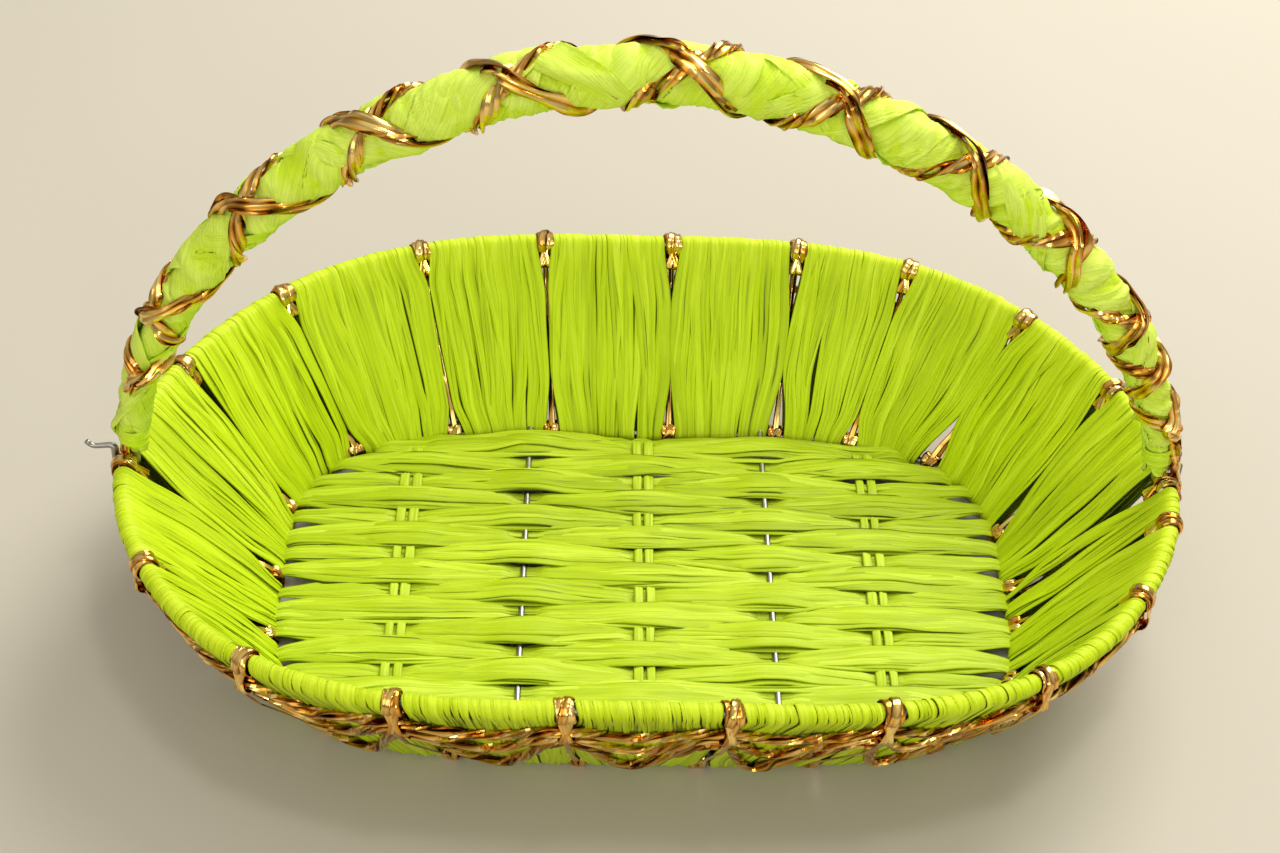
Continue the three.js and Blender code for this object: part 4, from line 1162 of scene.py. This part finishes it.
def handleCord(look, sense):
    rng = seeded(look["seed"])
    turns = len(crossingShares) - 1
    f = np.linspace(-1, turns + 1, (turns + 2) * look["stepsPerTurn"] + 1)
    left, right = look["tail"], look["rightTail"] * look["tail"]
    shares = [crossingShares[0] - left, *crossingShares, crossingShares[-1] + right]
    distance = arch["length"] * np.interp(f, np.arange(-1, turns + 2), shares)
    swing = swingAt(np.clip(f, 0, turns))
    # past the first and the last crossing both cords run down the outer side of the foot
    past = held(np.maximum(-f, f - turns))
    turned = eased(held(2 * past))
    middle = np.interp(f, np.arange(turns + 1), crossingAngles)
    tailAngle = look["tailAngle"] + sense * look["tailApart"]
    angle = np.where(past == 0, middle + sense * swing, lerp(middle, tailAngle, turned))
    crossing = ((1 + np.cos(2 * swing)) / 2) ** 3 * (1 - turned)
    radius = wrapRadiusAt(distance) + look["seat"] + look["lift"] * crossing + look["tailLift"] * turned
    radius -= look["under"] * eased(rampUp(-f, *look["goesUnder"]))  # under the winding at the left foot
    path = besideArch(distance, angle, radius)
    normal = unit(path - onArch(distance))
    # and on past the rim, outside it
    fall = np.linspace(0, 1, look["tailSteps"] + 1)[1:, None]
    for place, side in ((0, -1), (-1, 1)):
        out, drop = [side * look["tailOut"], 0, 0], [0, 0, look["tailDrop"]]
        down = path[place] + np.sin(2 * fall) * out - fall * drop
        facing = np.repeat([[side, 0, 0]], len(down), 0)
        path = np.concatenate([path, down] if place else [down[::-1], path])
        normal = np.concatenate([normal, facing] if place else [facing, normal])
    weave = Weave()
    foilCord(weave, rng, path, normal, False, look)
    return weave


for name, sense in (("under", 1), ("over", -1)):
    weave = handleCord({**handleCordLook, **handleCords[name]}, sense)
    makePiece(f"gold_handle_cord_{name}", weave, goldFoil, f"handle_cord_{name}", 26)

garlandLook = {
    "strips": 2, "pitch": 40, "crumple": 5, "loose": 0.8, "spread": 0.65, "rise": 0.6, "width": 3.5,
    "thickness": 1.35, "offset": -0.6, "sway": 0.025, "lean": 0.85, "stepsPerPanel": 38, "fullSpan": 45,
}
# each draped cord's height at the ties and between them, as shares of the wall's
swags = {"upper": (0.905, 0.785), "middle": (0.79, 0.48), "lower": (0.69, 0.14)}


def garland(tieShare, lowShare, look, seed):
    rng = seeded(seed)
    path, out = [], []
    f = np.arange(look["stepsPerPanel"]) / look["stepsPerPanel"]
    for i in range(panelCount):
        start, end = gaps[i], gapAfter(i)
        span = (end["tie"] - start["tie"]) * rim["length"]
        sag = min(1, span / look["fullSpan"]) * (1 - np.cos(2 * pi * f ** look["lean"])) / 2
        height = lerp(tieShare, lowShare, sag) + sag * wander(rng, len(f), 5, look["sway"])
        wall = wallAt(lerp(start["tie"], end["tie"], f), lerp(start["base"], end["base"], f))
        path.append(onWall(wall, height, 0 * f + cordOffset + look["offset"]))
        out.append(wall["out"])
    path, out = np.concatenate(path), np.concatenate(out)
    weave = Weave()
    foilCord(weave, rng, path, out, True, look)
    return weave


for number, (name, shares) in enumerate(swags.items()):
    weave = garland(*shares, garlandLook, 95 + number)
    makePiece(f"gold_garland_{name}", weave, goldFoil, f"garland_{name}", 20)
print("gold cords twisted")

tieLook = {
    "rimRadius": 3.6, "cordRadius": 2.6, "baseRadius": 3.2, "width": 3.4, "thickness": 1.0, "stray": 0.2,
    "tilt": 0.22, "tones": (0.4, 0.7),
    # the knot over the rim: each strip's shift, slant and lift
    "knot": ((-1.5, 0.9, 0), (1.5, 0.99, 0.1), (0.2, -1.35, 0.7)), "knotFoot": 0.945, "gathered": 0.45,
    "gatheredRun": 0.05, "knotRadii": (-0.1, 0.2), "knotWidths": (0.8, 1.15), "knotStray": (-0.4, 0.4),
    "knotPhase": -1.2, "knotSteps": (12, 4), "footRadius": 2.2, "footOut": 0.9,
    # the two strips that cross below it
    "crossWidth": 0.85, "crossThickness": 0.9, "crossSlant": 1.5, "crossShift": 0.2, "crossIn": -1.2,
    "crossDrop": 0.892, "crossRadius": 1.2, "crossRim": 3.1, "crossAt": 0.95, "crossRun": 0.06,
    "crossTurn": 2.5, "crossSteps": (8, 5),
    # the long strip, hidden behind the panels halfway
    "longWidth": 2.5, "pinched": 1.1, "longThickness": 0.7, "longRadius": 2.4, "longSlant": 0.3,
    "hiddenAt": (0, 0.1, 0.22, 0.84, 0.92, 1), "longSteps": (8, 14),
    # the knot round the base wire: each strip's shift and slant
    "baseKnot": ((-1.3, 0.8), (1.3, -0.8), (0.0, 1.6)), "baseSteps": 26, "baseTall": 0.35, "baseWidth": 0.8,
    "baseRadii": (-0.2, 0.4),
}


def belt(cores, arcSteps, runSteps):
    # once round a set of circles in the plane out of the wall, with the direction out of the belt
    outline, normals, runs = [], [], []
    for (centre, radius), (nextCentre, nextRadius) in zip(cores, cores[1:] + cores[:1]):
        lean = (radius - nextRadius) / np.linalg.norm(nextCentre - centre)
        ahead = unit(nextCentre - centre)
        square = np.array([-ahead[1], ahead[0]])
        runs.append(square * math.sqrt(1 - lean * lean) + ahead * lean)
    for k, (centre, radius) in enumerate(cores):
        arrive, leave = runs[k - 1], runs[k]
        start = math.atan2(arrive[1], arrive[0])
        turn = -((start - math.atan2(leave[1], leave[0])) % (2 * pi))
        for f in np.linspace(0, 1, arcSteps + 1):
            normal = np.array([math.cos(start + turn * f), math.sin(start + turn * f)])
            outline.append(centre + normal * radius)
            normals.append(normal)
        nextCentre, nextRadius = cores[(k + 1) % len(cores)]
        for f in np.arange(1, runSteps) / runSteps:
            outline.append(lerp(centre + leave * radius, nextCentre + leave * nextRadius, f))
            normals.append(leave)
    return np.array(outline), np.array(normals)


def tieStrip(weave, rng, wall, belted, width, thickness, shift, slant, phase=0.0):
    outline, normals = belted
    count = len(outline)
    sideways = shift + slant * np.sin(roundAngles(count) + phase)
    sideways = sideways + wander(rng, count, 5, tieLook["stray"], True)
    path = (wall["bottom"] + outline[:, :1] * wall["out"] + outline[:, 1:] * wall["rise"]
            + sideways[:, None] * wall["along"])
    normal = normals[:, :1] * wall["out"] + normals[:, 1:] * wall["rise"]
    knots = max(5, count // 6)
    section = foilSection(rng, count, width, thickness, True, knots, knotFold)
    rings = sweep(path, normal, section, True, wander(rng, count, 5, tieLook["tilt"], True))
    rings[..., 2] = np.maximum(rings[..., 2], 0)
    tone = rng.uniform(*tieLook["tones"])
    weave.add(rings, True, foilTone(rng, count, tone, True, knots, knotFold))


def tieWeave(i, look):
    rng = seeded(300 + i)
    wall = wallAt(gaps[i]["tie"], gaps[i]["base"])
    height = np.linalg.norm(wall["top"] - wall["bottom"])
    weave = Weave()

    def at(x, share):
        return np.array([x, height * share])

    def strip(*rest):
        tieStrip(weave, rng, wall, *rest)

    upperCord = (at(cordOffset, swags["upper"][0]), look["cordRadius"])
    lowerCord = (at(cordOffset, swags["lower"][0]), look["cordRadius"])
    foot = (at(look["footOut"], look["knotFoot"]), look["footRadius"])
    for shift, slant, lift in look["knot"]:
        top = (at(0, 1), look["rimRadius"] + lift + rng.uniform(*look["knotRadii"]))
        belted = belt([top, foot], *look["knotSteps"])
        gathered = rampUp(belted[0][:, 1] / height, look["knotFoot"], look["gatheredRun"])
        gathered = lerp(look["gathered"], 1, gathered)
        width = look["width"] * rng.uniform(*look["knotWidths"])
        shift = (shift + rng.uniform(*look["knotStray"])) * gathered
        strip(belted, width, look["thickness"], shift, slant * gathered, look["knotPhase"])
    for slant in (-1, 1):
        inner = (at(look["crossIn"], look["crossDrop"]), look["crossRadius"])
        belted = belt([(at(0, 1), look["crossRim"]), upperCord, inner], *look["crossSteps"])
        lean = (belted[0][:, 1] / height - look["crossAt"]) / look["crossRun"]
        lean = lean * np.clip(look["crossTurn"] * belted[1][:, 0], -1, 1)
        strip(belted, look["width"] * look["crossWidth"], look["thickness"] * look["crossThickness"],
              slant * look["crossSlant"] * np.clip(lean, -1, 1), look["crossShift"])
    # the long strip goes through the gap below the knot, down the outside and back in at the base wire
    ends = (at(0, 1), look["longRadius"]), (at(0, 0), look["longRadius"])
    outline, normals = belt([ends[0], upperCord, lowerCord, ends[1]], *look["longSteps"])
    share = held(outline[:, 1] / height)
    hidden = easedThrough(share, look["hiddenAt"], [0, 0, 1, 1, 0, 0])
    outline[:, 0] += np.where(outline[:, 0] < 1, hidden * (look["longRadius"] - outline[:, 0]), 0)
    width = lerp(look["pinched"], look["longWidth"], np.abs(2 * share - 1) ** 0.8)
    strip((outline, normals), width, look["thickness"] * look["longThickness"], 0, look["longSlant"])
    for shift, slant in look["baseKnot"]:
        angle = -roundAngles(look["baseSteps"])
        normals = np.stack([np.cos(angle), np.sin(angle)], 1)
        tall = 1 + look["baseTall"] * np.maximum(0, normals[:, 1:])
        outline = normals * (look["baseRadius"] + rng.uniform(*look["baseRadii"])) * tall
        strip((outline, normals), look["width"] * look["baseWidth"], look["thickness"], shift, slant)
    return weave


for i in range(panelCount):
    makePiece(f"gold_tie_{i + 1:02d}", tieWeave(i, tieLook), goldFoil, f"wall_tie_{i + 1:02d}", 38)
print("ties knotted")


# Floor, lights and camera

studio = {
    "floor": srgb(190, 182, 165), "floorSize": 6.0, "floorCells": 12, "blotch": 1.03, "blotches": 3.0,
    "matt": (0.75, 0.9), "grain": 60, "specular": 0.2, "worldStrength": 0.66,
    "sky": ((0, (0.34, 0.32, 0.28, 1)), (0.25, (0.5, 0.48, 0.44, 1)), (0.8, (1.05, 1.03, 0.97, 1))),
    "lens": 65.25, "sensor": 36, "eye": (-0.01915, -0.62957, 0.62744),
    "right": (0.99955, -0.00416, 0.02961), "up": (-0.01964, 0.65526, 0.75515),
    "back": (-0.02254, -0.7554, 0.65488), "lampsAimAt": (0, 0, 0.05),
    "lamps": (
        {"name": "overhead", "at": (0.65, 0.95, 1.15), "size": 1.2, "power": 26},
        {"name": "front", "at": (-0.4, -1.2, 1.0), "size": 1.2, "power": 4.8},
        {"name": "glint", "at": (0.2, -1.3, 0.45), "size": 0.22, "power": 2.9},
        {"name": "spark", "at": (0.25, -0.25, 1.6), "size": 0.25, "power": 3.5},
    ),
}


def makeFloor(look):
    cells = look["floorCells"]
    steps = np.linspace(-look["floorSize"] / 2, look["floorSize"] / 2, cells + 1)
    points = [(x, y, 0) for y in steps for x in steps]
    corners = [r * (cells + 1) + c for r in range(cells) for c in range(cells)]
    mesh = bpy.data.meshes.new("studio_floor")
    mesh.from_pydata(points, [], [(k, k + 1, k + cells + 2, k + cells + 1) for k in corners])
    n = Nodes("studio_floor")
    place = n.place()
    pale = tuple(min(1, c * look["blotch"]) for c in look["floor"][:3]) + (1,)
    mesh.materials.append(n.finish(
        Base_Color=n.mixColour(n.noise(place, look["blotches"], 2), look["floor"], pale),
        Roughness=n.range(n.noise(place, look["grain"], 2), *look["matt"]),
        Specular_IOR_Level=look["specular"],
    ))
    floor = bpy.data.objects.new("studio_floor", mesh)
    bpy.context.scene.collection.objects.link(floor)


def makeLamps(look):
    for lamp in look["lamps"]:
        data = bpy.data.lights.new(lamp["name"], "AREA")
        data.shape = "DISK"
        data.size = lamp["size"]
        data.energy = lamp["power"]
        thing = bpy.data.objects.new(lamp["name"], data)
        away = unit(np.array(lamp["at"]) - look["lampsAimAt"])
        side = unit(np.cross([0, 0, 1.0], away))
        turn = np.stack([side, np.cross(away, side), away], 1)
        thing.matrix_world = Matrix.Translation(lamp["at"]) @ Matrix(turn.tolist()).to_4x4()
        bpy.context.scene.collection.objects.link(thing)
    world = bpy.data.worlds.new("studio")
    world.use_nodes = True
    tree = world.node_tree
    sky = tree.nodes["Background"]
    upward = tree.nodes.new("ShaderNodeSeparateXYZ")
    shade = tree.nodes.new("ShaderNodeValToRGB")
    tree.links.new(tree.nodes.new("ShaderNodeTexCoord").outputs["Generated"], upward.inputs[0])
    tree.links.new(upward.outputs["Z"], shade.inputs[0])
    tree.links.new(shade.outputs[0], sky.inputs["Color"])
    shade.color_ramp.elements.new(0.5)
    for end, (place, colour) in zip(shade.color_ramp.elements, look["sky"]):
        end.position = place
        end.color = colour
    sky.inputs["Strength"].default_value = look["worldStrength"]
    bpy.context.scene.world = world


def makeCamera(look):
    data = bpy.data.cameras.new("camera")
    data.lens = look["lens"]
    data.sensor_width = look["sensor"]
    camera = bpy.data.objects.new("camera", data)
    columns = np.stack([look["right"], look["up"], look["back"]], 1)
    camera.matrix_world = Matrix.Translation(look["eye"]) @ Matrix(columns.tolist()).to_4x4()
    bpy.context.scene.collection.objects.link(camera)
    bpy.context.scene.camera = camera


makeFloor(studio)
makeLamps(studio)
makeCamera(studio)
bpy.context.scene.view_settings.view_transform = "Standard"
print("studio set")
